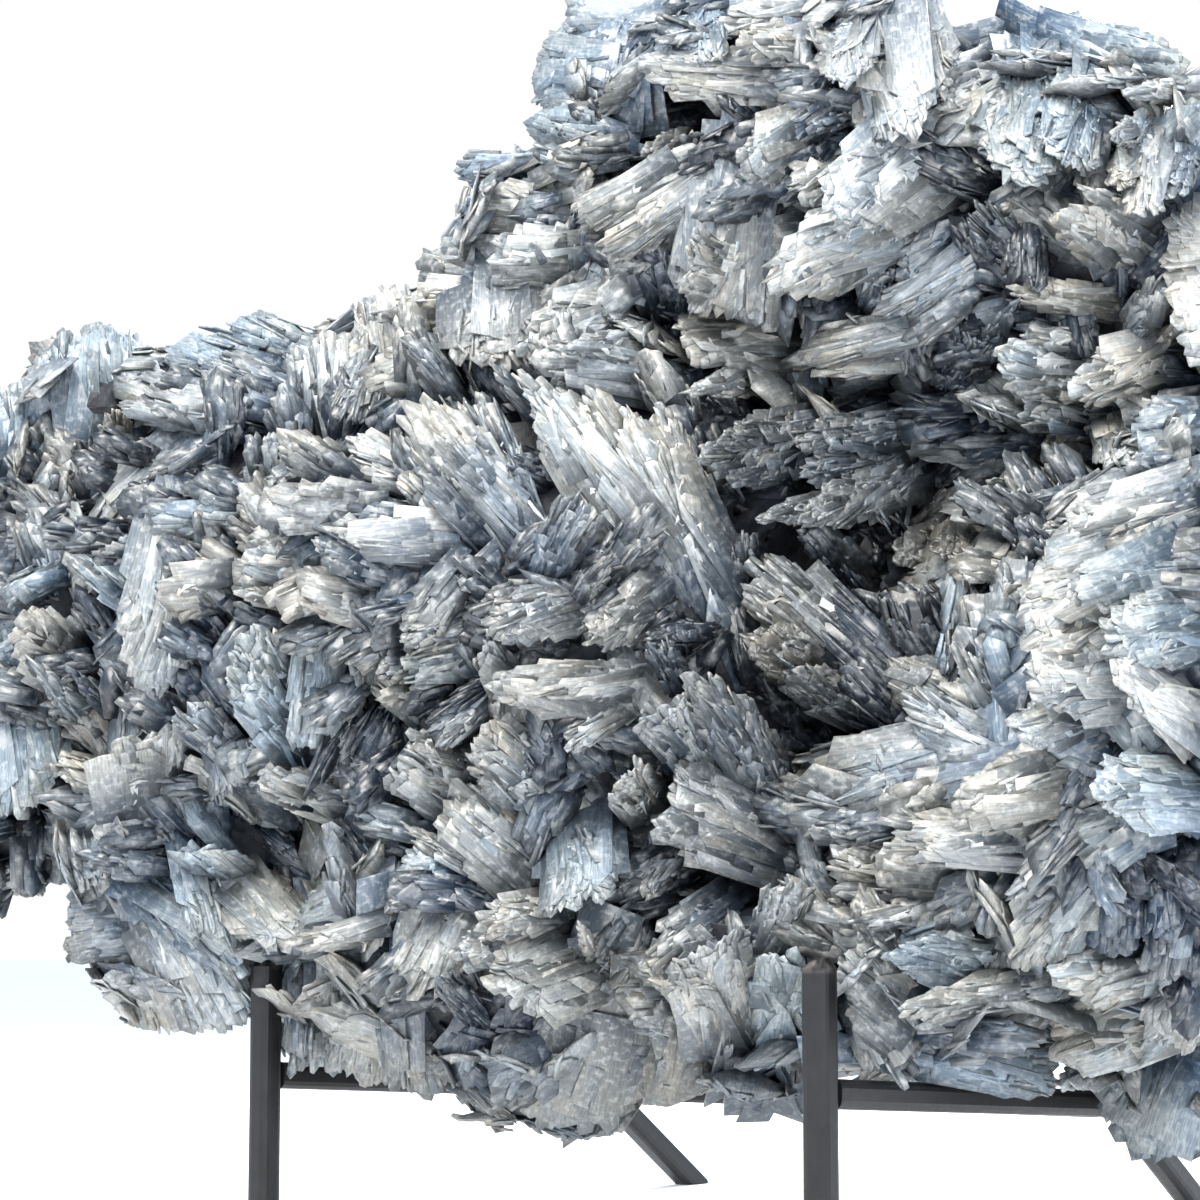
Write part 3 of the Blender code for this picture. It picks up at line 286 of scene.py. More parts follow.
GROUPS = (
    # Top, left half.
    Group("lobe", tip=(540, 60), root=(640, 70), width=120, roll=85, out=8, tone="blue"),
    Group("lobe", tip=(566, 12), root=(680, 14), width=52, roll=80, out=12, tone="clear"),
    Group("feather", tip=(637, 70), root=(805, 84), width=54, roll=55, out=26, tone="pale"),
    Group("leaf", tip=(524, 126), root=(606, 136), width=52, roll=60, out=10, tone="blue"),
    Group("lath", tip=(461, 174), root=(566, 166), width=42, roll=15, out=10, tone="blue"),
    Group("lobe", tip=(476, 206), root=(566, 222), width=56, roll=60, out=10, tone="tan"),
    Group("lath", tip=(489, 262), root=(590, 262), width=52, roll=0, out=14, tone="tan"),
    Group("lath", tip=(498, 366), root=(500, 284), width=92, roll=8, out=16, tone="pale"),
    Group("lobe", tip=(402, 318), root=(486, 308), width=62, roll=80, out=10, tone="white"),
    Group("lobe", tip=(420, 272), root=(505, 276), width=52, roll=70, out=6, tone="tan"),
    Group("lath", tip=(574, 224), root=(716, 148), width=42, roll=4, out=20, tone="pale"),
    Group("lath", tip=(604, 252), root=(733, 164), width=38, roll=4, out=26, tone="pale"),
    Group("leaf", tip=(636, 156), root=(708, 140), width=32, roll=60, out=16, tone="mid"),
    Group("plate", tip=(730, 322), root=(748, 172), width=82, roll=78, out=30, tone="pale"),
    Group("plate", tip=(683, 258), root=(770, 292), width=56, roll=80, out=34, tone="pale"),
    Group("lath", tip=(652, 248), root=(692, 338), width=52, roll=0, out=14, tone="dark"),
    Group("plate", tip=(588, 304), root=(620, 240), width=74, roll=85, out=2, tone="shade"),
    Group("feather", tip=(518, 342), root=(670, 308), width=62, roll=30, out=26, tone="pale"),
    Group("feather", tip=(521, 358), root=(690, 384), width=50, roll=22, out=30, tone="pale"),
    Group("leaf", tip=(558, 349), root=(662, 342), width=26, roll=20, out=34, tone="white"),
    Group("plate", tip=(681, 345), root=(806, 336), width=46, roll=60, out=16, tone="tan"),
    Group("leaf", tip=(676, 394), root=(806, 368), width=30, roll=18, out=20, tone="pale"),
    Group("lobe", tip=(742, 168), root=(806, 136), width=52, roll=60, out=14, tone="tan"),
    Group("lath", tip=(772, 114), root=(790, 58), width=34, roll=20, out=22, tone="white"),
    Group("lath", tip=(700, 64), root=(702, -8), width=54, roll=40, out=10, tone="blue"),
    Group("feather", tip=(724, 26), root=(806, 18), width=36, roll=20, out=16, tone="white"),
    Group("feather", tip=(732, 46), root=(806, 46), width=32, roll=20, out=20, tone="pale"),
    Group("lobe", tip=(640, 130), root=(700, 112), width=60, roll=40, out=2, tone="shade"),
    # Top, right half.
    Group("lath", tip=(905, 140), root=(868, -4), width=62, roll=4, out=30, tone="white"),
    Group("feather", tip=(850, 86), root=(852, 0), width=48, roll=50, out=30, tone="pale"),
    Group("feather", tip=(944, 98), root=(908, 8), width=50, roll=20, out=26, tone="pale"),
    Group("leaf", tip=(934, 112), root=(1004, 84), width=36, roll=50, out=22, tone="white"),
    Group("lobe", tip=(940, 76), root=(1004, 62), width=34, roll=60, out=14, tone="white"),
    Group("feather", tip=(818, 210), root=(990, 112), width=80, roll=72, out=34, tone="pale"),
    Group("feather", tip=(767, 280), root=(962, 186), width=72, roll=60, out=38, tone="pale"),
    Group("feather", tip=(1015, 188), root=(1042, 28), width=78, roll=82, out=34, tone="blue"),
    Group("lath", tip=(1066, 168), root=(1088, 58), width=56, roll=28, out=28, tone="blue"),
    Group("lobe", tip=(1192, 84), root=(1062, 44), width=64, roll=78, out=10, tone="blue"),
    Group("leaf", tip=(1120, 93), root=(1192, 88), width=20, roll=30, out=22, tone="white"),
    Group("plate", tip=(1144, 218), root=(1150, 118), width=34, roll=70, out=32, tone="white"),
    Group("leaf", tip=(1107, 140), root=(1146, 128), width=28, roll=60, out=30, tone="pale"),
    Group("lath", tip=(1120, 188), root=(1128, 148), width=24, roll=60, out=22, tone="tan"),
    Group("lath", tip=(1172, 196), root=(1190, 118), width=34, roll=30, out=22, tone="mid"),
    Group("leaf", tip=(1074, 182), root=(1172, 242), width=30, roll=14, out=32, tone="pale"),
    Group("feather", tip=(1056, 205), root=(1166, 266), width=48, roll=62, out=28, tone="pale"),
    Group("lath", tip=(1026, 286), root=(1030, 192), width=36, roll=8, out=14, tone="dark"),
    Group("lath", tip=(974, 206), root=(1048, 278), width=28, roll=4, out=18, tone="dark"),
    Group("feather", tip=(880, 317), root=(1014, 240), width=44, roll=14, out=30, tone="pale"),
    Group("feather", tip=(898, 272), root=(966, 226), width=48, roll=55, out=22, tone="mid"),
    Group("plate", tip=(883, 266), root=(870, 328), width=20, roll=60, out=20, tone="mid"),
    Group("lath", tip=(792, 358), root=(1004, 306), width=34, roll=5, out=24, tone="pale"),
    Group("leaf", tip=(818, 374), root=(944, 352), width=26, roll=14, out=30, tone="white"),
    Group("leaf", tip=(1020, 298), root=(946, 404), width=22, roll=50, out=18, tone="dark"),
    Group("plate", tip=(980, 334), root=(934, 424), width=44, roll=30, out=8, tone="dark"),
    Group("lath", tip=(1017, 288), root=(1114, 308), width=30, roll=20, out=14, tone="tan"),
    Group("lath", tip=(1025, 334), root=(1100, 340), width=20, roll=20, out=14, tone="tan"),
    Group("feather", tip=(994, 358), root=(1104, 384), width=58, roll=22, out=30, tone="pale"),
    Group("feather", tip=(1068, 384), root=(1196, 350), width=52, roll=18, out=34, tone="white"),
    Group("lath", tip=(1168, 276), root=(1124, 348), width=30, roll=10, out=26, tone="mid"),
    Group("leaf", tip=(1198, 308), root=(1146, 354), width=14, roll=20, out=30, tone="white"),
    Group("lobe", tip=(1168, 296), root=(1262, 306), width=190, roll=82, out=30, tone="white"),
    Group("lath", tip=(812, 129), root=(856, 118), width=16, roll=30, out=6, tone="shade"),
    Group("lobe", tip=(798, 196), root=(852, 166), width=52, roll=50, out=12, tone="tan"),
    # Middle.
    Group("feather", tip=(534, 378), root=(706, 604), width=62, roll=6, out=30, tone="pale"),
    Group("feather", tip=(594, 386), root=(738, 642), width=66, roll=10, out=24, tone="pale"),
    Group("feather", tip=(650, 402), root=(736, 594), width=40, roll=10, out=18, tone="pale"),
    Group("leaf", tip=(514, 372), root=(612, 462), width=40, roll=30, out=34, tone="white"),
    Group("feather", tip=(402, 404), root=(534, 546), width=72, roll=36, out=26, tone="pale"),
    Group("leaf", tip=(434, 428), root=(506, 506), width=36, roll=50, out=32, tone="pale"),
    Group("lath", tip=(466, 398), root=(520, 500), width=36, roll=4, out=16, tone="mid"),
    Group("leaf", tip=(494, 400), root=(546, 540), width=16, roll=10, out=20, tone="mid"),
    Group("lath", tip=(508, 464), root=(566, 478), width=32, roll=20, out=6, tone="dark"),
    Group("lath", tip=(584, 500), root=(540, 580), width=46, roll=8, out=18, tone="mid"),
    Group("feather", tip=(486, 632), root=(588, 596), width=52, roll=28, out=24, tone="pale"),
    Group("leaf", tip=(612, 556), root=(570, 612), width=28, roll=30, out=14, tone="mid"),
    Group("feather", tip=(588, 644), root=(672, 588), width=42, roll=18, out=22, tone="pale"),
    Group("feather", tip=(482, 692), root=(676, 680), width=46, roll=8, out=32, tone="white"),
    Group("plate", tip=(482, 644), root=(512, 694), width=34, roll=70, out=26, tone="pale"),
    Group("lath", tip=(402, 642), root=(486, 620), width=32, roll=8, out=20, tone="mid"),
    Group("lath", tip=(400, 672), root=(480, 652), width=38, roll=10, out=18, tone="blue"),
    Group("leaf", tip=(420, 727), root=(504, 676), width=26, roll=20, out=18, tone="dark"),
    Group("lath", tip=(428, 742), root=(502, 690), width=32, roll=14, out=20, tone="mid"),
    Group("lath", tip=(566, 744), root=(642, 696), width=28, roll=4, out=20, tone="tan"),
    Group("lath", tip=(544, 762), root=(512, 700), width=54, roll=4, out=12, tone="shade"),
    Group("leaf", tip=(642, 712), root=(676, 732), width=22, roll=40, out=14, tone="mid"),
    Group("lath", tip=(648, 636), root=(722, 630), width=24, roll=10, out=12, tone="dark"),
    Group("lath", tip=(654, 640), root=(700, 722), width=30, roll=10, out=16, tone="dark"),
    Group("plate", tip=(663, 700), root=(742, 806), width=62, roll=66, out=26, tone="mid"),
    Group("feather", tip=(696, 668), root=(792, 826), width=52, roll=22, out=30, tone="mid"),
    Group("plate", tip=(660, 796), root=(786, 850), width=72, roll=78, out=32, tone="pale"),
    Group("lath", tip=(398, 756), root=(486, 804), width=60, roll=10, out=22, tone="pale"),
    Group("leaf", tip=(412, 736), root=(476, 772), width=38, roll=20, out=26, tone="pale"),
    Group("lath", tip=(476, 736), root=(566, 806), width=62, roll=8, out=24, tone="pale"),
    Group("plate", tip=(622, 776), root=(662, 812), width=44, roll=82, out=26, tone="tan"),
    Group("lath", tip=(740, 536), root=(748, 606), width=18, roll=20, out=16, tone="mid"),
    Group("feather", tip=(700, 464), root=(868, 434), width=60, roll=14, out=28, tone="mid"),
    Group("leaf", tip=(754, 521), root=(858, 498), width=26, roll=30, out=26, tone="white"),
    Group("lath", tip=(798, 440), root=(956, 422), width=34, roll=8, out=22, tone="mid"),
    Group("lath", tip=(800, 470), root=(940, 446), width=34, roll=6, out=16, tone="mid"),
    Group("feather", tip=(800, 517), root=(946, 456), width=46, roll=12, out=24, tone="pale"),
    Group("plate", tip=(955, 444), root=(1046, 430), width=38, roll=58, out=14, tone="shade"),
    Group("plate", tip=(1008, 519), root=(1018, 484), width=52, roll=78, out=10, tone="shade"),
    Group("lath", tip=(974, 474), root=(1050, 470), width=36, roll=8, out=8, tone="dark"),
    Group("lath", tip=(904, 566), root=(988, 508), width=40, roll=6, out=22, tone="tan"),
    Group("plate", tip=(954, 566), root=(986, 512), width=42, roll=74, out=24, tone="tan"),
    Group("leaf", tip=(968, 476), root=(914, 528), width=16, roll=10, out=20, tone="tan"),
    Group("plate", tip=(806, 519), root=(884, 612), width=32, roll=66, out=18, tone="shade"),
    Group("leaf", tip=(898, 606), root=(970, 594), width=16, roll=20, out=14, tone="tan"),
    Group("leaf", tip=(1002, 518), root=(1040, 574), width=18, roll=20, out=16, tone="mid"),
    Group("plate", tip=(972, 612), root=(1006, 560), width=34, roll=50, out=10, tone="dark"),
    Group("leaf", tip=(1037, 476), root=(1090, 514), width=18, roll=20, out=26, tone="white"),
    Group("lath", tip=(1046, 533), root=(1094, 534), width=20, roll=30, out=26, tone="white"),
    Group("lobe", tip=(1044, 456), root=(1106, 448), width=60, roll=40, out=26, tone="tan"),
    Group("lath", tip=(1122, 466), root=(1108, 414), width=32, roll=20, out=24, tone="tan"),
    Group("lath", tip=(1024, 402), root=(1106, 412), width=48, roll=20, out=20, tone="mid"),
    Group("lobe", tip=(1132, 446), root=(1210, 436), width=78, roll=70, out=28, tone="blue"),
    Group("plate", tip=(988, 584), root=(1006, 756), width=36, roll=68, out=26, tone="blue"),
    Group("feather", tip=(1016, 632), root=(1184, 556), width=104, roll=74, out=34, tone="pale"),
    Group("lobe", tip=(1026, 682), root=(1160, 664), width=76, roll=76, out=38, tone="pale"),
    Group("feather", tip=(1058, 548), root=(1214, 500), width=66, roll=70, out=28, tone="pale"),
    Group("lobe", tip=(1070, 594), root=(1198, 560), width=56, roll=76, out=44, tone="blue"),
    Group("lobe", tip=(1104, 644), root=(1210, 616), width=64, roll=76, out=42, tone="blue"),
    Group("feather", tip=(1110, 666), root=(1214, 738), width=46, roll=50, out=40, tone="white"),
    Group("lath", tip=(744, 572), root=(902, 684), width=60, roll=8, out=18, tone="tan"),
    Group("feather", tip=(748, 632), root=(884, 696), width=50, roll=12, out=24, tone="tan"),
    Group("lath", tip=(798, 596), root=(934, 704), width=60, roll=8, out=12, tone="dark"),
    Group("lath", tip=(852, 640), root=(966, 704), width=44, roll=8, out=16, tone="tan"),
    Group("feather", tip=(782, 664), root=(886, 732), width=52, roll=40, out=24, tone="mid"),
    Group("feather", tip=(808, 788), root=(1002, 746), width=74, roll=18, out=34, tone="pale"),
    Group("feather", tip=(900, 700), root=(1002, 752), width=46, roll=16, out=30, tone="pale"),
    Group("lath", tip=(882, 690), root=(894, 734), width=26, roll=20, out=22, tone="dark"),
    Group("leaf", tip=(954, 644), root=(990, 700), width=26, roll=20, out=22, tone="white"),
    Group("leaf", tip=(1002, 592), root=(1056, 578), width=32, roll=60, out=24, tone="tan"),
    Group("lobe", tip=(1012, 736), root=(1098, 712), width=52, roll=70, out=34, tone="pale"),
    Group("lobe", tip=(958, 802), root=(1096, 770), width=58, roll=74, out=38, tone="tan"),
    Group("lobe", tip=(1092, 790), root=(1206, 788), width=66, roll=60, out=40, tone="blue"),
    # Left.
    Group("lobe", tip=(108, 328), root=(112, 438), width=92, roll=80, out=10, tone="blue"),
    Group("lobe", tip=(64, 336), root=(66, 432), width=60, roll=78, out=10, tone="blue"),
    Group("lobe", tip=(18, 384), root=(24, 476), width=76, roll=78, out=10, tone="blue"),
    Group("feather", tip=(170, 346), root=(272, 378), width=50, roll=12, out=16, tone="blue"),
    Group("feather", tip=(232, 322), root=(318, 352), width=38, roll=10, out=14, tone="blue"),
    Group("lath", tip=(206, 364), root=(306, 402), width=40, roll=8, out=20, tone="mid"),
    Group("feather", tip=(122, 404), root=(256, 420), width=36, roll=30, out=24, tone="pale"),
    Group("lath", tip=(340, 328), root=(346, 432), width=52, roll=8, out=14, tone="pale"),
    Group("plate", tip=(306, 344), root=(328, 444), width=44, roll=76, out=18, tone="pale"),
    Group("lath", tip=(378, 300), root=(386, 396), width=42, roll=14, out=14, tone="pale"),
    Group("lobe", tip=(392, 282), root=(410, 356), width=48, roll=80, out=10, tone="white"),
    Group("leaf", tip=(356, 311), root=(364, 366), width=14, roll=20, out=10, tone="pale"),
    Group("plate", tip=(272, 430), root=(274, 512), width=50, roll=78, out=18, tone="mid"),
    Group("plate", tip=(272, 508), root=(326, 472), width=52, roll=60, out=18, tone="mid"),
    Group("feather", tip=(346, 442), root=(416, 478), width=48, roll=58, out=22, tone="white"),
    Group("lath", tip=(198, 508), root=(276, 518), width=26, roll=20, out=18, tone="blue"),
    Group("lath", tip=(144, 486), root=(222, 488), width=32, roll=10, out=12, tone="tan"),
    Group("lobe", tip=(144, 690), root=(192, 524), width=76, roll=80, out=30, tone="pale"),
    Group("lath", tip=(74, 549), root=(144, 612), width=44, roll=12, out=22, tone="blue"),
    Group("leaf", tip=(98, 546), root=(162, 508), width=24, roll=20, out=12, tone="dark"),
    Group("leaf", tip=(66, 470), root=(74, 520), width=20, roll=76, out=18, tone="pale"),
    Group("lath", tip=(112, 412), root=(124, 478), width=26, roll=8, out=12, tone="tan"),
    Group("lath", tip=(84, 442), root=(108, 494), width=24, roll=8, out=10, tone="dark"),
    Group("lath", tip=(32, 512), root=(56, 600), width=40, roll=20, out=10, tone="mid"),
    Group("lobe", tip=(18, 622), root=(78, 668), width=56, roll=78, out=20, tone="pale"),
    Group("leaf", tip=(22, 652), root=(114, 742), width=26, roll=30, out=24, tone="mid"),
    Group("leaf", tip=(68, 668), root=(130, 722), width=22, roll=30, out=18, tone="dark"),
    Group("lobe", tip=(20, 812), root=(14, 706), width=84, roll=76, out=18, tone="blue"),
    Group("feather", tip=(240, 555), root=(324, 576), width=36, roll=20, out=22, tone="pale"),
    Group("leaf", tip=(236, 590), root=(306, 600), width=26, roll=20, out=22, tone="white"),
    Group("feather", tip=(320, 550), root=(460, 546), width=66, roll=8, out=28, tone="white"),
    Group("plate", tip=(326, 758), root=(334, 590), width=66, roll=74, out=24, tone="blue"),
    Group("lath", tip=(240, 632), root=(314, 748), width=44, roll=14, out=24, tone="blue"),
    Group("lath", tip=(232, 668), root=(322, 768), width=44, roll=16, out=28, tone="blue"),
    Group("leaf", tip=(272, 624), root=(298, 690), width=28, roll=30, out=14, tone="tan"),
    Group("lath", tip=(184, 708), root=(246, 768), width=40, roll=14, out=20, tone="mid"),
    Group("plate", tip=(232, 796), root=(216, 724), width=46, roll=60, out=22, tone="mid"),
    Group("feather", tip=(55, 762), root=(118, 788), width=40, roll=50, out=22, tone="tan"),
    Group("plate", tip=(158, 722), root=(162, 808), width=88, roll=82, out=20, tone="pale"),
    Group("feather", tip=(262, 772), root=(356, 812), width=42, roll=22, out=24, tone="pale"),
    Group("leaf", tip=(371, 676), root=(430, 656), width=32, roll=40, out=18, tone="mid"),
    Group("leaf", tip=(374, 700), root=(432, 686), width=24, roll=40, out=16, tone="tan"),
    Group("lath", tip=(360, 770), root=(392, 706), width=44, roll=20, out=8, tone="dark"),
    Group("lath", tip=(352, 420), root=(378, 350), width=44, roll=10, out=12, tone="mid"),
    Group("lath", tip=(160, 580), root=(222, 640), width=44, roll=20, out=8, tone="dark"),
    # Bottom, left half.
    Group("lath", tip=(106, 884), root=(56, 778), width=40, roll=14, out=16, tone="mid"),
    Group("leaf", tip=(38, 895), root=(42, 852), width=34, roll=60, out=4, tone="mid"),
    Group("lobe", tip=(96, 826), root=(158, 836), width=62, roll=80, out=20, tone="tan"),
    Group("lobe", tip=(188, 846), root=(238, 876), width=52, roll=70, out=22, tone="blue"),
    Group("plate", tip=(64, 930), root=(150, 918), width=64, roll=82, out=8, tone="mid"),
    Group("lath", tip=(180, 1028), root=(112, 866), width=70, roll=18, out=6, tone="tan"),
    Group("lath", tip=(240, 1030), root=(160, 888), width=78, roll=14, out=12, tone="pale"),
    Group("feather", tip=(262, 968), root=(152, 878), width=52, roll=10, out=20, tone="blue"),
    Group("lath", tip=(226, 944), root=(192, 846), width=56, roll=16, out=24, tone="blue"),
    Group("feather", tip=(300, 952), root=(230, 868), width=56, roll=24, out=24, tone="tan"),
    Group("feather", tip=(300, 926), root=(404, 884), width=56, roll=60, out=26, tone="pale"),
    Group("lath", tip=(318, 1070), root=(312, 958), width=68, roll=60, out=10, tone="pale"),
    Group("lath", tip=(362, 1082), root=(372, 948), width=58, roll=10, out=14, tone="pale"),
    Group("lath", tip=(344, 808), root=(400, 872), width=60, roll=10, out=14, tone="dark"),
    Group("leaf", tip=(304, 862), root=(262, 826), width=20, roll=20, out=12, tone="dark"),
    Group("lath", tip=(446, 798), root=(540, 884), width=66, roll=2, out=20, tone="tan"),
    Group("lath", tip=(410, 832), root=(516, 900), width=28, roll=4, out=22, tone="tan"),
    Group("plate", tip=(578, 910), root=(580, 808), width=58, roll=82, out=26, tone="blue"),
    Group("lobe", tip=(398, 878), root=(480, 868), width=54, roll=76, out=20, tone="blue"),
    Group("lath", tip=(414, 990), root=(472, 880), width=54, roll=24, out=20, tone="tan"),
    Group("feather", tip=(473, 926), root=(568, 906), width=34, roll=60, out=26, tone="pale"),
    Group("lobe", tip=(457, 956), root=(540, 942), width=46, roll=80, out=28, tone="mid"),
    Group("feather", tip=(496, 994), root=(590, 958), width=74, roll=66, out=28, tone="tan"),
    Group("plate", tip=(632, 892), root=(696, 830), width=42, roll=58, out=18, tone="mid"),
    Group("leaf", tip=(578, 921), root=(594, 962), width=14, roll=30, out=24, tone="white"),
    Group("feather", tip=(650, 962), root=(730, 902), width=48, roll=28, out=20, tone="mid"),
    Group("lobe", tip=(560, 1128), root=(592, 996), width=140, roll=60, out=10, tone="tan"),
    Group("lobe", tip=(476, 1098), root=(512, 1014), width=92, roll=50, out=6, tone="shade"),
    Group("lath", tip=(420, 1096), root=(408, 978), width=60, roll=14, out=8, tone="mid"),
    Group("leaf", tip=(464, 1082), root=(482, 1008), width=26, roll=40, out=18, tone="mid"),
    Group("lath", tip=(440, 974), root=(492, 1034), width=26, roll=10, out=18, tone="dark"),
    Group("lobe", tip=(650, 1104), root=(672, 1004), width=96, roll=60, out=10, tone="tan"),
    # Bottom, right half.
    Group("plate", tip=(702, 942), root=(736, 1062), width=66, roll=78, out=26, tone="pale"),
    Group("lobe", tip=(790, 950), root=(772, 1082), width=64, roll=78, out=22, tone="blue"),
    Group("lath", tip=(792, 884), root=(762, 958), width=42, roll=12, out=26, tone="pale"),
    Group("leaf", tip=(640, 966), root=(698, 984), width=34, roll=60, out=24, tone="pale"),
    Group("feather", tip=(834, 838), root=(898, 850), width=36, roll=30, out=26, tone="pale"),
    Group("feather", tip=(826, 864), root=(936, 886), width=50, roll=44, out=30, tone="tan"),
    Group("leaf", tip=(828, 890), root=(936, 896), width=28, roll=30, out=28, tone="pale"),
    Group("feather", tip=(888, 850), root=(1040, 850), width=38, roll=36, out=32, tone="pale"),
    Group("feather", tip=(854, 925), root=(964, 904), width=26, roll=14, out=28, tone="pale"),
    Group("feather", tip=(891, 950), root=(1026, 966), width=44, roll=24, out=30, tone="blue"),
    Group("feather", tip=(894, 1010), root=(1062, 984), width=30, roll=14, out=28, tone="tan"),
    Group("lobe", tip=(846, 956), root=(900, 1014), width=74, roll=40, out=16, tone="tan"),
    Group("lath", tip=(1062, 1074), root=(880, 1048), width=48, roll=14, out=20, tone="blue"),
    Group("lath", tip=(902, 1082), root=(852, 1000), width=46, roll=10, out=16, tone="pale"),
    Group("feather", tip=(1014, 962), root=(1100, 852), width=62, roll=38, out=34, tone="tan"),
    Group("plate", tip=(1112, 956), root=(1124, 852), width=48, roll=82, out=12, tone="dark"),
    Group("leaf", tip=(1070, 898), root=(1102, 786), width=36, roll=68, out=44, tone="blue"),
    Group("leaf", tip=(1000, 906), root=(1080, 832), width=34, roll=20, out=34, tone="mid"),
    Group("leaf", tip=(1012, 930), root=(1066, 872), width=24, roll=20, out=34, tone="mid"),
    Group("lobe", tip=(1050, 978), root=(1190, 962), width=50, roll=68, out=34, tone="tan"),
    Group("lobe", tip=(1046, 1040), root=(1180, 1004), width=82, roll=78, out=30, tone="tan"),
    Group("plate", tip=(1166, 1046), root=(1222, 958), width=46, roll=78, out=40, tone="white"),
    Group("lobe", tip=(1140, 1158), root=(1176, 1052), width=96, roll=76, out=14, tone="blue"),
    Group("lath", tip=(1158, 952), root=(1168, 862), width=40, roll=20, out=22, tone="dark"),
    Group("leaf", tip=(1060, 1086), root=(1120, 1060), width=36, roll=60, out=24, tone="tan"),
    Group("feather", tip=(956, 818), root=(1066, 792), width=50, roll=70, out=40, tone="tan"),
    # Beyond the right edge of the picture, finished plainly.
    Group("lobe", tip=(1300, 180), root=(1240, 260), width=90, roll=70, out=10, tone="blue"),
    Group("feather", tip=(1330, 300), root=(1250, 330), width=80, roll=40, out=12, tone="pale"),
    Group("feather", tip=(1352, 430), root=(1262, 440), width=90, roll=30, out=12, tone="pale"),
    Group("lobe", tip=(1356, 560), root=(1262, 560), width=96, roll=60, out=12, tone="blue"),
    Group("feather", tip=(1350, 690), root=(1262, 660), width=84, roll=40, out=14, tone="pale"),
    Group("lobe", tip=(1306, 820), root=(1230, 780), width=90, roll=60, out=12, tone="mid"),
    Group("feather", tip=(1290, 930), root=(1220, 880), width=80, roll=40, out=12, tone="pale"),
    Group("lath", tip=(1252, 1040), root=(1206, 990), width=60, roll=20, out=12, tone="mid"),
    Group("lobe", tip=(1220, 110), root=(1170, 180), width=70, roll=60, out=10, tone="blue"),
    Group("feather", tip=(-62, 560), root=(30, 560), width=76, roll=30, out=8, tone="mid"),
    Group("lobe", tip=(-66, 680), root=(20, 650), width=84, roll=60, out=8, tone="blue"),
    Group("feather", tip=(-44, 800), root=(30, 762), width=70, roll=40, out=8, tone="mid"),
    Group("lobe", tip=(-42, 460), root=(30, 480), width=70, roll=60, out=8, tone="mid"),
)


def view_to_stand(point):
    """Turns a point seen from the camera (across, away, up) into the stand's own axes."""
    across = point.x - RIGHT_UPRIGHT_ACROSS
    away = point.y - RIGHT_UPRIGHT_AWAY
    cos_yaw = math.cos(STAND_YAW)
    sin_yaw = math.sin(STAND_YAW)
    return Vector((
        UPRIGHT_SPACING + across * cos_yaw - away * sin_yaw,
        across * sin_yaw + away * cos_yaw,
        point.z + CAMERA_HEIGHT,
    ))


PITCH = math.atan((HORIZON - PICTURE_CENTRE) / FOCAL)


def ray(place):
    """The direction from the camera through a place in the picture, with unit distance away."""
    right = (place[0] - PICTURE_CENTRE) / FOCAL
    up = (PICTURE_CENTRE - place[1]) / FOCAL
    away = math.cos(PITCH) - math.sin(PITCH) * up
    rise = math.sin(PITCH) + math.cos(PITCH) * up
    return Vector((right / away, 1.0, rise / away))


def half_sizes(lump):
    """The half sizes of a lump or hollow in mm, across, away and up."""
    scale = lump.away / FOCAL
    return Vector((lump.reach[0] * scale, lump.deep, lump.reach[1] * scale))


def crossings(lump, direction):
    """Where a ray from the camera enters and leaves a lump, as distances away, or None."""
    centre = ray(lump.place) * lump.away
    half = half_sizes(lump)
    d = Vector((direction.x / half.x, direction.y / half.y, direction.z / half.z))
    c = Vector((centre.x / half.x, centre.y / half.y, centre.z / half.z))
    a = d.dot(d)
    b = -2 * d.dot(c)
    rest = b * b - 4 * a * (c.dot(c) - 1)
    if rest < 0:
        return None
    root = math.sqrt(rest)
    return (-b - root) / (2 * a), (-b + root) / (2 * a)


def surface_away(place):
    """How far away the lumps' front is behind a place in the picture, or None outside them."""
    direction = ray(place)
    spans = sorted(s for s in (crossings(lump, direction) for lump in LUMPS) if s)
    if not spans:
        return None
    front = spans[0][0]
    for hollow in HOLLOWS:
        span = crossings(hollow, direction)
        if span and span[0] < front < span[1]:
            front = span[1]
    return front


def nearest_away(place):
    """The front's distance at a place, or just inside the lumps where the place is outside."""
    x, y = place
    for step in range(40):
        front = surface_away((x, y))
        if front is not None:
            return front
        x += (PICTURE_CENTRE - x) * 0.03
        y += (PICTURE_CENTRE - y) * 0.03
    return LUMPS[0].away


# Outline of each form: along the length from root 0 to tip 1, and across from -0.5 to 0.5.
# The tip end of each is stepped, as the ends of plates that grew side by side are.
OUTLINES = {
    "lobe": ((0.0, -0.36), (0.55, -0.50), (0.92, -0.30), (1.0, 0.10), (0.70, 0.48), (0.0, 0.40)),
    "feather": ((0.0, -0.22), (0.78, -0.50), (1.0, -0.12), (0.90, 0.16), (0.72, 0.47), (0.0, 0.24)),
    "lath": ((0.0, -0.38), (0.88, -0.50), (1.0, -0.10), (0.84, 0.50), (0.0, 0.40)),
    "leaf": ((0.0, -0.28), (0.50, -0.50), (1.0, 0.0), (0.60, 0.46)),
    "plate": ((0.0, -0.44), (0.96, -0.50), (0.90, 0.48), (0.0, 0.46)),
}


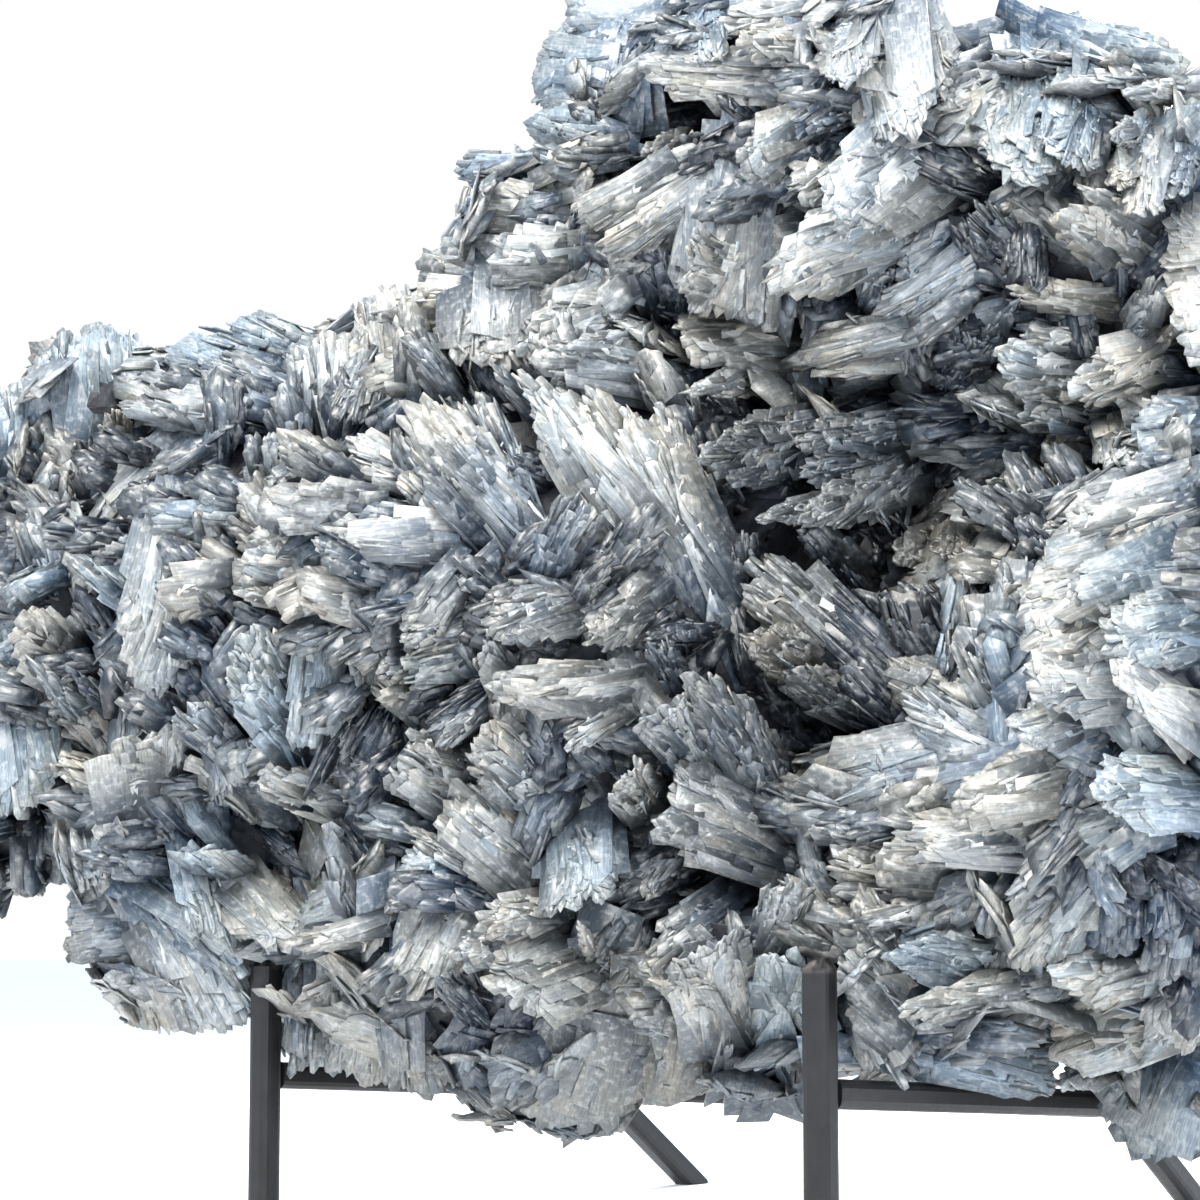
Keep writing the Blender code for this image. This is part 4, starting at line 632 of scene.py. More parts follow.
class Fan:
    """One crystal group: its root, its three axes and its sizes in mm, seen from the camera."""

    def __init__(self, form, root, tip, outward, width, roll, flip):
        self.form = form
        self.root = root
        self.along = (tip - root).normalized()
        self.length = (tip - root).length
        self.side = self.along.cross(outward).normalized()
        if flip:
            self.side.negate()
        self.out = (outward - self.along * outward.dot(self.along)).normalized()
        self.width = width
        self.roll = math.radians(roll)
        # A group that shows the edges of its plates is deeper than one that shows their faces.
        thickness = width * THICKNESS_SHARE * (1.25 - roll / 180)
        self.thickness = min(max(thickness, LEAST_THICKNESS), MOST_THICKNESS)


def front_fans(chance):
    """The groups of the table, each laid on the lumps behind its place in the picture."""
    fans = []
    for group in GROUPS:
        root_away = nearest_away(group.root)
        root = ray(group.root) * (root_away + ROOT_SINK)
        tip = ray(group.tip) * (nearest_away(group.tip) - group.out)
        outward = -ray(group.root).normalized()
        width = group.width * root_away / FOCAL
        flip = chance.random() < 0.5
        fans.append(Fan(group.form, root, tip, outward, width, group.roll, flip))
    return fans


def lump_frame(lump):
    return ray(lump.place) * lump.away, half_sizes(lump)


def inside_lumps(point, margin):
    """Whether a point lies in any lump made smaller by the margin, in mm."""
    for lump in LUMPS:
        centre, half = lump_frame(lump)
        gap = point - centre
        share = math.sqrt(sum((gap[i] / max(half[i] - margin, 1.0)) ** 2 for i in range(3)))
        if share < 1:
            return True
    return False


def picture_place(point):
    """The place in the picture of a point seen from the camera."""
    depth = point.y * math.cos(PITCH) + point.z * math.sin(PITCH)
    rise = point.z * math.cos(PITCH) - point.y * math.sin(PITCH)
    return (
        PICTURE_CENTRE + FOCAL * point.x / depth,
        PICTURE_CENTRE - FOCAL * rise / depth,
    )


def shows_past_outline(point):
    """Whether a point would show in the picture where the crystal has none."""
    place = picture_place(point)
    in_picture = all(0 < value < 2 * PICTURE_CENTRE for value in place)
    return in_picture and surface_away(place) is None


def back_fans(chance):
    """Groups on the sides, top, underside and back, which the picture doesn't show."""
    fans = []
    tries = 0
    while len(fans) < BACK_FANS and tries < 4000:
        tries += 1
        lump = LUMPS[chance.randrange(len(LUMPS))]
        centre, half = lump_frame(lump)
        turn = chance.uniform(0, 2 * math.pi)
        rise = chance.uniform(-0.9, 1)
        ring = math.sqrt(1 - rise * rise)
        unit = Vector((ring * math.cos(turn), ring * math.sin(turn), rise))
        if unit.y < 0.15:
            continue
        spot = centre + Vector((unit.x * half.x, unit.y * half.y, unit.z * half.z))
        outward = Vector((unit.x / half.x, unit.y / half.y, unit.z / half.z)).normalized()
        if inside_lumps(spot + outward * 3, 0):
            continue
        if any((spot - fan.root).length < BACK_SPACING for fan in fans):
            continue
        swing = Vector((chance.gauss(0, 1), chance.gauss(0, 1), chance.gauss(0, 1)))
        along = (swing - outward * swing.dot(outward)).normalized()
        lean = math.radians(chance.uniform(14, 34))
        along = along * math.cos(lean) + outward * math.sin(lean)
        length = chance.uniform(*BACK_LENGTH)
        width = chance.uniform(*BACK_WIDTH)
        form = chance.choice(("feather", "feather", "lath", "lobe", "plate"))
        root = spot - outward * ROOT_SINK
        flip = chance.random() < 0.5
        roll = chance.uniform(0, 90)
        tip = root + along * length
        if view_to_stand(tip).z < LOWEST_BACK_TIP or shows_past_outline(tip):
            continue
        fans.append(Fan(form, root, tip, outward, width, roll, flip))
    return fans


def upright_shift():
    """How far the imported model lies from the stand's own axes, in mm."""
    low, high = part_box("front_upright_right")
    middle = (Vector(low) + Vector(high)) / 2 / MILLIMETRE
    return Vector((UPRIGHT_SPACING - middle.x, -middle.y, 0))


SHIFT = upright_shift()


def row_point(point):
    """A point seen from the camera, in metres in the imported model's axes."""
    return (view_to_stand(point) - SHIFT) * MILLIMETRE


# Each tone's colours from the root of a blade to its tip, as linear red, green and blue. The roots' darkness
# is partly the crystal's own colour and partly painted shade, and the dark and shade tones are painted shade
# for crystals deep in the gaps.
TONES = {
    "pale": ((0.078, 0.108, 0.148), (0.283, 0.307, 0.312), (0.515, 0.51, 0.475)),
    "white": ((0.118, 0.150, 0.188), (0.405, 0.417, 0.407), (0.615, 0.605, 0.565)),
    "blue": ((0.053, 0.088, 0.134), (0.215, 0.276, 0.322), (0.44, 0.475, 0.475)),
    "mid": ((0.029, 0.048, 0.079), (0.143, 0.176, 0.212), (0.36, 0.375, 0.365)),
    "tan": ((0.074, 0.090, 0.104), (0.268, 0.276, 0.262), (0.49, 0.485, 0.445)),
    "dark": ((0.0035, 0.007, 0.015), (0.018, 0.031, 0.055), (0.11, 0.138, 0.165)),
    "shade": ((0.011, 0.021, 0.041), (0.064, 0.093, 0.133), (0.24, 0.275, 0.295)),
    "clear": ((0.140, 0.190, 0.240), (0.395, 0.455, 0.495), (0.60, 0.64, 0.65)),
}

# What a change from cool to warm does to red, green and blue.
WARM_TO_COOL = np.array((1.1, 0.2, -0.9))

# Outlines of single blades: along from root 0 to tip 1, and across from -0.5 to 0.5.
BLADES = {
    "spear": ((0, -0.30), (0.72, -0.50), (1, 0.0), (0.80, 0.50), (0, 0.32)),
    "chisel": ((0, -0.46), (0.93, -0.50), (1, -0.10), (0.84, 0.50), (0, 0.44)),
    "sliver": ((0, -0.40), (0.97, -0.50), (0.84, 0.50), (0, 0.38)),
    "comb": (
        (0, -0.42), (0.80, -0.50), (0.88, -0.22), (0.97, -0.26),
        (1, 0.08), (0.89, 0.13), (0.83, 0.50), (0, 0.42),
    ),
    "scale": (
        (0, -0.34), (0.50, -0.50), (0.85, -0.42), (1, -0.06), (0.93, 0.27), (0.60, 0.50), (0, 0.36),
    ),
    "slab": ((0, -0.45), (0.90, -0.50), (0.97, -0.36), (1, 0.30), (0.86, 0.50), (0, 0.45)),
}
# Which outlines a form uses where it shows its plates' edges, and where it shows their faces.
EDGE_BLADES = ("sliver", "chisel", "sliver", "spear")
RIM_BLADES = ("spear", "chisel", "spear", "slab")
FACE_BLADES = {
    "lobe": ("scale", "comb", "chisel"),
    "feather": ("comb", "spear", "chisel"),
    "lath": ("comb", "chisel", "chisel"),
    "leaf": ("spear", "comb"),
    "plate": ("slab", "slab", "comb"),
}
# How far the plates of each tone have grown together into milky crystal.
MILKINESS = {
    "pale": 0.7, "white": 0.8, "blue": 0.6, "mid": 0.25, "tan": 0.8, "dark": 0.0, "shade": 0.1, "clear": 1.0,
}
# How far plates stand off the front of a group of each form, as a share of the most.
SMOOTHNESS = {"lobe": 0.4, "feather": 1.0, "lath": 1.0, "leaf": 0.9, "plate": 0.55}
# How far the plates round a group of each form turn outwards.
RIM_SPREAD = {"lobe": 1.0, "feather": 0.8, "lath": 0.35, "leaf": 0.4, "plate": 0.4}
Blade = collections.namedtuple("Blade", "shape base along normal size bow tone level start light")


# Recesses that little light reaches, and milky parts that catch more, in picture units.
Shade = collections.namedtuple("Shade", "place reach light")

SHADES = (
    Shade(place=(840, 480), reach=(200, 130), light=0.62),
    Shade(place=(850, 610), reach=(170, 120), light=0.62),
    Shade(place=(780, 770), reach=(80, 150), light=0.62),
    Shade(place=(600, 620), reach=(130, 90), light=0.72),
    Shade(place=(590, 360), reach=(150, 90), light=0.78),
    Shade(place=(480, 740), reach=(110, 240), light=0.82),
    Shade(place=(860, 900), reach=(130, 170), light=0.86),
    Shade(place=(1020, 560), reach=(70, 120), light=0.8),
    Shade(place=(720, 190), reach=(130, 150), light=0.86),
    Shade(place=(1000, 170), reach=(80, 140), light=0.82),
    Shade(place=(160, 470), reach=(140, 60), light=0.75),
    Shade(place=(730, 880), reach=(110, 50), light=0.65),
    Shade(place=(1060, 400), reach=(90, 90), light=1.25),
    Shade(place=(1150, 840), reach=(110, 220), light=1.25),
    Shade(place=(200, 830), reach=(330, 230), light=1.12),
    Shade(place=(1120, 1060), reach=(120, 110), light=1.25),
)

# Deep gaps between the groups: place and reach in picture units, and turn in degrees.
Gap = collections.namedtuple("Gap", "place reach turn")

GAPS = (
    Gap(place=(775, 408), reach=(110, 26), turn=-4),
    Gap(place=(1020, 380), reach=(34, 150), turn=12),
    Gap(place=(860, 590), reach=(150, 44), turn=38),
    Gap(place=(765, 780), reach=(130, 28), turn=78),
    Gap(place=(740, 888), reach=(80, 30), turn=-8),
    Gap(place=(545, 470), reach=(70, 22), turn=60),
    Gap(place=(160, 470), reach=(90, 26), turn=0),
    Gap(place=(120, 640), reach=(90, 24), turn=40),
    Gap(place=(720, 120), reach=(110, 22), turn=4),
    Gap(place=(1120, 900), reach=(34, 70), turn=0),
    Gap(place=(350, 790), reach=(80, 24), turn=50),
    Gap(place=(330, 880), reach=(60, 22), turn=10),
    Gap(place=(640, 300), reach=(70, 22), turn=60),
)


def in_outline(form, along, across):
    """Whether a place lies in a form's outline."""
    ring = OUTLINES[form]
    inside = False
    for first, second in zip(ring, ring[1:] + ring[:1]):
        if (first[0] > along) == (second[0] > along):
            continue
        share = (along - first[0]) / (second[0] - first[0])
        if across < first[1] + share * (second[1] - first[1]):
            inside = not inside
    return inside


@functools.lru_cache(maxsize=None)
def outline_reach(form, across):
    """How far along a form's outline goes at a distance across it."""
    for step in range(REACH_STEPS):
        along = 1.0 - step / REACH_STEPS
        if in_outline(form, along, across):
            return along
    return LEAST_REACH


def leaf_rise(t, s):
    """The share of its height that a group's front has at t along and s across it."""
    dome = 1.0 - SIDE_DROP * abs(2 * s) ** SIDE_ROUNDNESS
    return dome * (1.0 - TIP_DROP * t**3) * (ROOT_HEIGHT + ROOT_RISE * min(t, 0.5))


def leaf_point(fan, t, s, height):
    """A point of a group at t along and s across it, at a height over its middle."""
    reach = outline_reach(fan.form, round(s, 2)) * t
    spread = ROOT_SPREAD + (1 - ROOT_SPREAD) * min(1.0, t * SPREAD_SPEED)
    sway = s * spread * fan.width + fan.curl * fan.length * 4 * t * (1 - t)
    return fan.root + fan.along * (reach * fan.length) + fan.side * sway + fan.out * height


def leaf_flow(fan, t, s):
    """The direction in which a group's plates grow at t along and s across it."""
    before = t - FLOW_STEP
    half = fan.thickness / 2
    here = leaf_point(fan, t, s, half * leaf_rise(t, s))
    before = leaf_point(fan, before, s, half * leaf_rise(max(0.0, before), s))
    return (here - before).normalized()


def add_blade(blades, fan, shape, t, s, lift, swing, turn, sizes, bow, light):
    """Adds a blade with its tip at t along and s across a group and a lift over its front."""
    flow = leaf_flow(fan, t, s)
    along = (flow + fan.side * swing[0] + fan.out * swing[1]).normalized()
    normal = fan.side * math.cos(turn) + fan.out * math.sin(turn)
    normal = (normal - along * normal.dot(along)).normalized()
    tip = leaf_point(fan, t, s, fan.thickness / 2 * leaf_rise(t, s) + lift)
    start = max(0.0, t - sizes[0] / fan.length)
    base = tip - along * sizes[0]
    # Painted shade: a blade low on its group's front is painted darker.
    depth = 1.0 - LOW_PAINTED_SHADE * (1.0 - leaf_rise(t, s)) ** 2
    light *= depth * fan.light
    blades.append(Blade(shape, base, along, normal, sizes, bow, fan.tone, t, start, light))


def edge_blade(blades, fan, chance):
    """A thin plate that shows its long edge in the front of a group."""
    t = math.sqrt(chance.uniform(0.04, 1.0))
    s = chance.uniform(-0.49, 0.49)
    length = chance.uniform(*EDGE_LENGTH) * min(fan.length, EDGE_LONGEST_GROUP) + LEAST_EDGE_LENGTH
    width = chance.uniform(*EDGE_WIDTH)
    sizes = (length, width, chance.uniform(*EDGE_THICKNESS))
    turn = fan.roll * 0.4 - s * GROUP_DOME + chance.gauss(0, EDGE_TURN)
    swing = (chance.gauss(s * 0.15, 0.06), chance.uniform(0.0, 0.11))
    lift = chance.uniform(*EDGE_LIFT) - width / 2
    shape = chance.choice(EDGE_BLADES)
    add_blade(blades, fan, shape, t, s, lift, swing, turn, sizes, 0.0, chance.gauss(1, 0.10))


def face_blade(blades, fan, chance):
    """A plate that shows its face in the front of a group, its tip raised a little."""
    t = math.sqrt(chance.uniform(0.06, 1.0))
    s = chance.uniform(-0.46, 0.46)
    milk = MILKINESS[fan.tone]
    size = (FACE_SCALE[0] + FACE_SCALE[1] * chance.random() ** 2) * (1 + MILKY_GROWTH * milk)
    length = chance.uniform(*FACE_LENGTH) * min(fan.length, FACE_GROUP[0]) * size + LEAST_FACE[0]
    width = chance.uniform(*FACE_WIDTH) * min(fan.width, FACE_GROUP[1]) * size + LEAST_FACE[1]
    sizes = (length, width, chance.uniform(*FACE_THICKNESS))
    proud = SMOOTHNESS[fan.form] * (1 - 0.5 * milk)
    turn = math.pi / 2 - s * GROUP_DOME + chance.gauss(0, FACE_TURN) * proud
    swing = (chance.gauss(s * 0.2, 0.09), chance.uniform(0.02, 0.13) * proud)
    lift = chance.uniform(0.2, 1.3) * proud
    shape = chance.choice(FACE_BLADES[fan.form])
    bow = -FACE_BOW * chance.random()
    add_blade(blades, fan, shape, t, s, lift, swing, turn, sizes, bow, chance.gauss(1, 0.09 * proud))


def rim_blade(blades, fan, chance):
    """A plate that stands out of a group's tip or side, as a tooth of its outline."""
    s = chance.choice((-1, 1)) * (0.5 - abs(chance.gauss(0, 0.25)))
    s = max(-0.49, min(0.49, s))
    t = 1.0 - chance.choice((0.0, 0.0, 0.6)) * chance.random()
    length = chance.uniform(*RIM_LENGTH) * min(fan.length, RIM_GROUP[0]) + LEAST_RIM[0]
    width = chance.uniform(*RIM_WIDTH) * min(fan.width, RIM_GROUP[1]) + LEAST_RIM[1]
    sizes = (length, width, chance.uniform(*FACE_THICKNESS))
    turn = chance.gauss(math.pi / 2 - s * GROUP_DOME, RIM_TURN + (math.pi / 2 - fan.roll) * 0.4)
    swing = (s * chance.uniform(0.1, 1.0) * RIM_SPREAD[fan.form], chance.gauss(0.02, 0.07))
    lift = -fan.thickness * chance.uniform(0.0, 0.6) * leaf_rise(t, s)
    shape = chance.choice(RIM_BLADES)
    t += chance.uniform(0.0, RIM_REACH) / max(fan.length, 40.0)
    add_blade(blades, fan, shape, t, s, lift, swing, turn, sizes, 0.0, chance.gauss(1.03, 0.1))


def blades_of(fan, chance, counts):
    """The blades of one group: edges and faces over its front, and teeth round its rim."""
    blades = []
    area = fan.length * fan.width * 0.8
    milk = MILKINESS[fan.tone]
    face_share = FACE_SHARE[0] + (FACE_SHARE[1] - FACE_SHARE[0]) * fan.roll / (math.pi / 2)
    face_share += (1 - face_share) * 0.6 * milk
    for _ in range(int(area / counts[0] / (1 + MILKY_GROWTH * milk))):
        if chance.random() < face_share:
            face_blade(blades, fan, chance)
        else:
            edge_blade(blades, fan, chance)
    for _ in range(int((fan.length + fan.width) / counts[1])):
        rim_blade(blades, fan, chance)
    return blades


def body_points(fan, chance, rows, columns):
    """The points of a group's own body, its front in rows and then its back's one, and their shades.

    A shade is how far along the group the point is, and the share of light painted into its colour, as
    painted shade.
    """
    places = []
    shades = []
    heights = np.cumsum(chance.normal(0, RIDGE_STEP, columns + 1))
    heights = heights - np.linspace(heights[0], heights[-1], columns + 1)
    ends = chance.normal(0, RAGGED_END, columns + 1)
    for i in range(rows + 1):
        for j in range(columns + 1):
            s = j / columns - 0.5
            t = i / rows
            inner = 0 < i < rows and 0 < j < columns
            if inner:
                s += chance.normal(0, CELL_JITTER[0] / columns)
                t += chance.normal(0, CELL_JITTER[1] / rows)
            elif i:
                s *= 1 + chance.uniform(*RAGGED_SIDE)
            s = min(MOST_ACROSS, max(-MOST_ACROSS, s))
            rise = leaf_rise(min(1.0, max(0.0, t)), s)
            height = fan.thickness / 2 * rise if inner or i == 0 else 0.0
            if inner:
                height += heights[j] * RIDGE_SHARE + chance.normal(0, BODY_ROUGHNESS)
            places.append(leaf_point(fan, t * (1 + ends[j]), s, height))
            # Painted shade: the body's low parts are painted darker.
            painted_light_share = 1.0 - LOW_PAINTED_SHADE * (1.0 - rise) ** 2
            shades.append((t, painted_light_share * chance.normal(1, BODY_MOTTLE)))
    places.append(leaf_point(fan, 0.5, 0.0, -fan.thickness / 2))
    # Painted shade: the point behind the body is painted darker.
    shades.append(BACK_SHADE)
    return np.array(places), np.array(shades)


def body_faces(rows, columns, turned):
    """The corners and sizes of a body's faces: the front's cells, then the fan behind them."""
    corners = []
    sizes = []
    for i in range(rows):
        for j in range(columns):
            a = i * (columns + 1) + j
            b = a + columns + 1
            corners += [a, a + 1, b + 1, b]
            sizes.append(4)
    ring = list(range(columns + 1))
    ring += [i * (columns + 1) + columns for i in range(1, rows + 1)]
    ring += [rows * (columns + 1) + j for j in range(columns - 1, -1, -1)]
    ring += [i * (columns + 1) for i in range(rows - 1, 0, -1)]
    behind = (rows + 1) * (columns + 1)
    for a, b in zip(ring, ring[1:] + ring[:1]):
        corners += [b, a, behind]
        sizes.append(3)
    if turned:
        corners.reverse()
        sizes.reverse()
    return np.array(corners), np.array(sizes)


def body_tints(fan, shades):
    """A body's tints from root to tip, each with how milky it is."""
    tones = np.array(TONES[fan.tone])
    t = shades[:, :1]
    body = smooth(t * 1.6)
    tint = tones[0] * (1 - body) + tones[1] * body
    tip = BODY_PALENESS * smooth((t - 0.6) / 0.4)
    tint = (tint * (1 - tip) + tones[2] * tip) * shades[:, 1:] * fan.light * BODY_LIGHT
    milk = np.full((len(shades), 1), MILKINESS[fan.tone])
    return np.concatenate([np.clip(tint, 0.0, 1.0), milk], axis=-1)


def leaf_arrays(fan, chance, cell):
    """Points, corners, face sizes, tints and grain of a group's own body."""
    columns = max(4, int(fan.width / cell[0]))
    rows = max(3, int(fan.length / cell[1]))
    places, shades = body_points(fan, chance, rows, columns)
    turned = fan.side.cross(fan.along).dot(fan.out) < 0
    corners, sizes = body_faces(rows, columns, turned)
    tint = body_tints(fan, shades)
    run = places - np.array(fan.root)
    grain = np.stack([run @ np.array(fan.along), run @ np.array(fan.side)], axis=-1)
    return places, corners, sizes, tint[corners], grain[corners] + chance.uniform(0, GRAIN_REACH)


def lean_over(fan, chance):
    """Turns a group about its length, so that groups face different ways."""
    lean = chance.gauss(0, GROUP_LEAN) * min(1.0, LEANING_LENGTH / fan.length)
    turn = Matrix.Rotation(lean, 3, fan.along)
    fan.side = turn @ fan.side
    fan.out = turn @ fan.out
    fan.thickness *= FLATNESS


def light_at(place):
    """The share of light that reaches a place in the picture."""
    share = 1.0
    for shade in SHADES:
        across = (place[0] - shade.place[0]) / shade.reach[0]
        down = (place[1] - shade.place[1]) / shade.reach[1]
        depth = max(0.0, 1.0 - across * across - down * down)
        share *= 1.0 - (1.0 - shade.light) * min(1.0, depth * 2.0)
    return share


def in_gap(place):
    """Whether a place in the picture lies in a deep gap, where only sunken stubs show, painted dark as
    shade.
    """
    for gap in GAPS:
        across = place[0] - gap.place[0]
        down = place[1] - gap.place[1]
        turn = math.radians(gap.turn)
        along = across * math.cos(turn) + down * math.sin(turn)
        beside = down * math.cos(turn) - across * math.sin(turn)
        if (along / gap.reach[0]) ** 2 + (beside / gap.reach[1]) ** 2 < 1:
            return True
    return False


def covered(place, share):
    """Whether a place in the picture lies behind a group of the table."""
    for group in GROUPS:
        run = (group.tip[0] - group.root[0], group.tip[1] - group.root[1])
        length = math.hypot(*run)
        gap = (place[0] - group.root[0], place[1] - group.root[1])
        along = (gap[0] * run[0] + gap[1] * run[1]) / length
        across = abs(gap[0] * run[1] - gap[1] * run[0]) / length
        if -0.02 * length < along < 0.92 * length and across < group.width * share:
            return True
    return False


def tuft(spot, outward, swing, lean, sizes, tone, chance):
    """A small group that stands on the surface at a spot and leans out of it."""
    along = (swing - outward * swing.dot(outward)).normalized()
    along = along * math.cos(lean) + outward * math.sin(lean)
    root = spot - outward * (TUFT_SINK * chance.uniform(*SINK_SHARE))
    tip = root + along * chance.uniform(*sizes[0])
    form = chance.choice(("feather", "feather", "lath", "leaf", "lobe"))
    roll = chance.uniform(0, 90)
    fan = Fan(form, root, tip, outward, chance.uniform(*sizes[1]), roll, chance.random() < 0.5)
    fan.tone = tone
    fan.light = 1.0
    fan.curl = chance.gauss(0, TUFT_CURL)
    lean_over(fan, chance)
    return fan


def random_swing(chance):
    return Vector((chance.gauss(0, 1), chance.gauss(0, 1), chance.gauss(0, 1)))


def stands_out(fan):
    """Whether a group shows in the picture where the crystal has none."""
    for t, s in OUTER_PLACES:
        if shows_past_outline(leaf_point(fan, t, s, 0.0)):
            return True
    return False


def front_tufts(chance, front):
    """Small groups over what the table's groups leave bare, leaning much as their neighbours do."""
    tufts = []
    step = FRONT_TUFT_STEP
    for row in range(-2, int(TUFTS_TO[1] / step)):
        for column in range(-4, int(TUFTS_TO[0] / step)):
            place = ((column + chance.random()) * step, (row + chance.random()) * step)
            away = surface_away(place)
            if away is None or covered(place, COVERED_SHARE):
                continue
            spot = ray(place) * away
            outward = (-ray(place)).normalized()
            near = min(range(len(GROUPS)), key=lambda k: middle_gap(GROUPS[k], place))
            swing = front[near].along + random_swing(chance) * FRONT_TUFT_SWING
            tone = chance.choice(("mid", "shade", GROUPS[near].tone, GROUPS[near].tone))
            # Painted shade: tufts in deep gaps and hollows take the darkest tone, and sink deeper.
            if in_gap(place):
                tone = "dark"
                spot += ray(place) * GAP_SINK
            elif any(crossings(hollow, ray(place)) for hollow in HOLLOWS):
                tone = "dark"
                spot += ray(place) * (GAP_SINK / 2)
            lean = math.radians(chance.uniform(*FRONT_TUFT_LEAN))
            sizes = (FRONT_TUFT_LENGTH, FRONT_TUFT_WIDTH)
            made = tuft(spot, outward, swing, lean, sizes, tone, chance)
            made.light = light_at(place) * TUFT_LIGHT
            if not stands_out(made):
                tufts.append(made)
    return tufts


def middle_gap(group, place):
    """How far a place in the picture is from the middle of a group."""
    across = (group.tip[0] + group.root[0]) / 2 - place[0]
    down = (group.tip[1] + group.root[1]) / 2 - place[1]
    return math.hypot(across, down)


def back_tufts(chance):
    """Tufts all over the sides, top, underside and back."""
    tufts = []
    taken = collections.defaultdict(list)
    for lump in LUMPS:
        centre, half = lump_frame(lump)
        area = 4 * math.pi * ((half.x * half.y + half.y * half.z + half.x * half.z) / 3)
        for _ in range(int(area / BACK_TUFT_SPACING**2 * SPOTS_PER_TUFT)):
            turn = chance.uniform(0, 2 * math.pi)
            rise = chance.uniform(-1, 1)
            ring = math.sqrt(1 - rise * rise)
            unit = Vector((ring * math.cos(turn), ring * math.sin(turn), rise))
            spot = centre + Vector((unit.x * half.x, unit.y * half.y, unit.z * half.z))
            outward = Vector((unit.x / half.x, unit.y / half.y, unit.z / half.z)).normalized()
            if outward.dot(spot.normalized()) < MOST_FACING or inside_lumps(spot + outward * 3, 0):
                continue
            cell = tuple(int(value // BACK_TUFT_SPACING) for value in spot)
            near = (
                other
                for x in (-1, 0, 1)
                for y in (-1, 0, 1)
                for z in (-1, 0, 1)
                for other in taken[(cell[0] + x, cell[1] + y, cell[2] + z)]
            )
            if any((spot - other).length < BACK_TUFT_SPACING for other in near):
                continue
            tone = chance.choice(("pale", "blue", "mid", "tan", "pale", "white"))
            lean = math.radians(chance.uniform(*BACK_TUFT_LEAN))
            for attempt in range(BACK_TUFT_TRIES):
                share = 1 - TRY_SHRINK * attempt
                sizes = [(low * share, high * share) for low, high in (BACK_TUFT_LENGTH, BACK_TUFT_WIDTH)]
                fan = tuft(spot, outward, random_swing(chance), lean, sizes, tone, chance)
                if not stands_out(fan):
                    tufts.append(fan)
                    taken[cell].append(spot)
                    break
                lean /= 2
    return tufts


def bar_boxes():
    """The boxes of the stand's bars, grown a little, in metres."""
    grow = Vector((1, 1, 1)) * (BAR_CLEARANCE * MILLIMETRE)
    boxes = []
    for node in frame["nodes"]:
        if node != "barite_cluster":
            low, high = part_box(node)
            boxes.append((Vector(low) - grow, Vector(high) + grow))
    return boxes


def in_reach(point):
    """Whether a point lies in the solid's box, grown a little."""
    low, high = CAD_BOUNDS
    past = PAST_SOLID * MILLIMETRE
    return all(low[i] - past < point[i] < high[i] + past for i in range(3))


def clear_of_stand(blade, boxes):
    """Whether a blade keeps off the bars and the ground, and near the solid."""
    for share in (0.0, 0.25, 0.5, 0.75, 1.0):
        point = row_point(blade.base + blade.along * (blade.size[0] * share))
        if share > 0.4 and point.z < LOWEST_BLADE * MILLIMETRE or not in_reach(point):
            return False
        for low, high in boxes:
            if all(low[i] < point[i] < high[i] for i in range(3)):
                return False
    return True


def leaf_clear(fan, boxes):
    """Whether a group's body keeps off the bars and the ground, and near the solid."""
    for t in (0.2, 0.4, 0.6, 0.8, 1.0):
        for s in (-0.5, -0.25, 0.0, 0.25, 0.5):
            for side in (-1.0, 0.0, 1.0):
                height = side * fan.thickness / 2 * leaf_rise(t, s)
                point = row_point(leaf_point(fan, t, s, height))
                if point.z < LOWEST_BLADE * MILLIMETRE or not in_reach(point):
                    return False
                for low, high in boxes:
                    if all(low[i] < point[i] < high[i] for i in range(3)):
                        return False
    return True


def shape_faces(count):
    """Corner lists of a blade's faces: its two sides, then the strip round its edge."""
    front = list(range(count))
    back = list(range(2 * count - 1, count - 1, -1))
    faces = [front, back]
    for i in range(count):
        j = (i + 1) % count
        faces.append([j, i, i + count, j + count])
    return faces


def smooth(value):
    value = np.clip(value, 0.0, 1.0)
    return value * value * (3 - 2 * value)


def each(blades, name):
    """One value of every blade, as an array."""
    return np.array([getattr(blade, name) for blade in blades])


def blade_points(outline, blades, chance):
    """The points of many blades of one outline, and where they are along and across their blade."""
    count = len(outline)
    total = len(blades)
    along = each(blades, "along")
    normal = each(blades, "normal")
    size = each(blades, "size")
    across = np.cross(normal, along)
    jitter = chance.normal(0, OUTLINE_JITTER, (total, count, 2))
    jitter[:, (0, count - 1), 0] = 0
    u = outline[None, :, 0] + jitter[:, :, 0] * ALONG_JITTER
    v = (outline[None, :, 1] + jitter[:, :, 1]) * np.where(chance.random((total, 1)) < 0.5, -1, 1)
    flat = each(blades, "base")[:, None] + along[:, None] * (u * size[:, :1])[..., None]
    flat = flat + across[:, None] * (v * size[:, 1:2])[..., None]
    bow = each(blades, "bow")[:, None] + chance.normal(0, BOW_JITTER, (total, 1))
    bow = bow * size[:, :1] * (1 - (u - 0.5) ** 2 * 4)
    half = normal * (size[:, 2:] / 2)
    flat = flat + normal[:, None] * bow[..., None]
    return np.concatenate([flat + half[:, None], flat - half[:, None]], axis=1), u, v


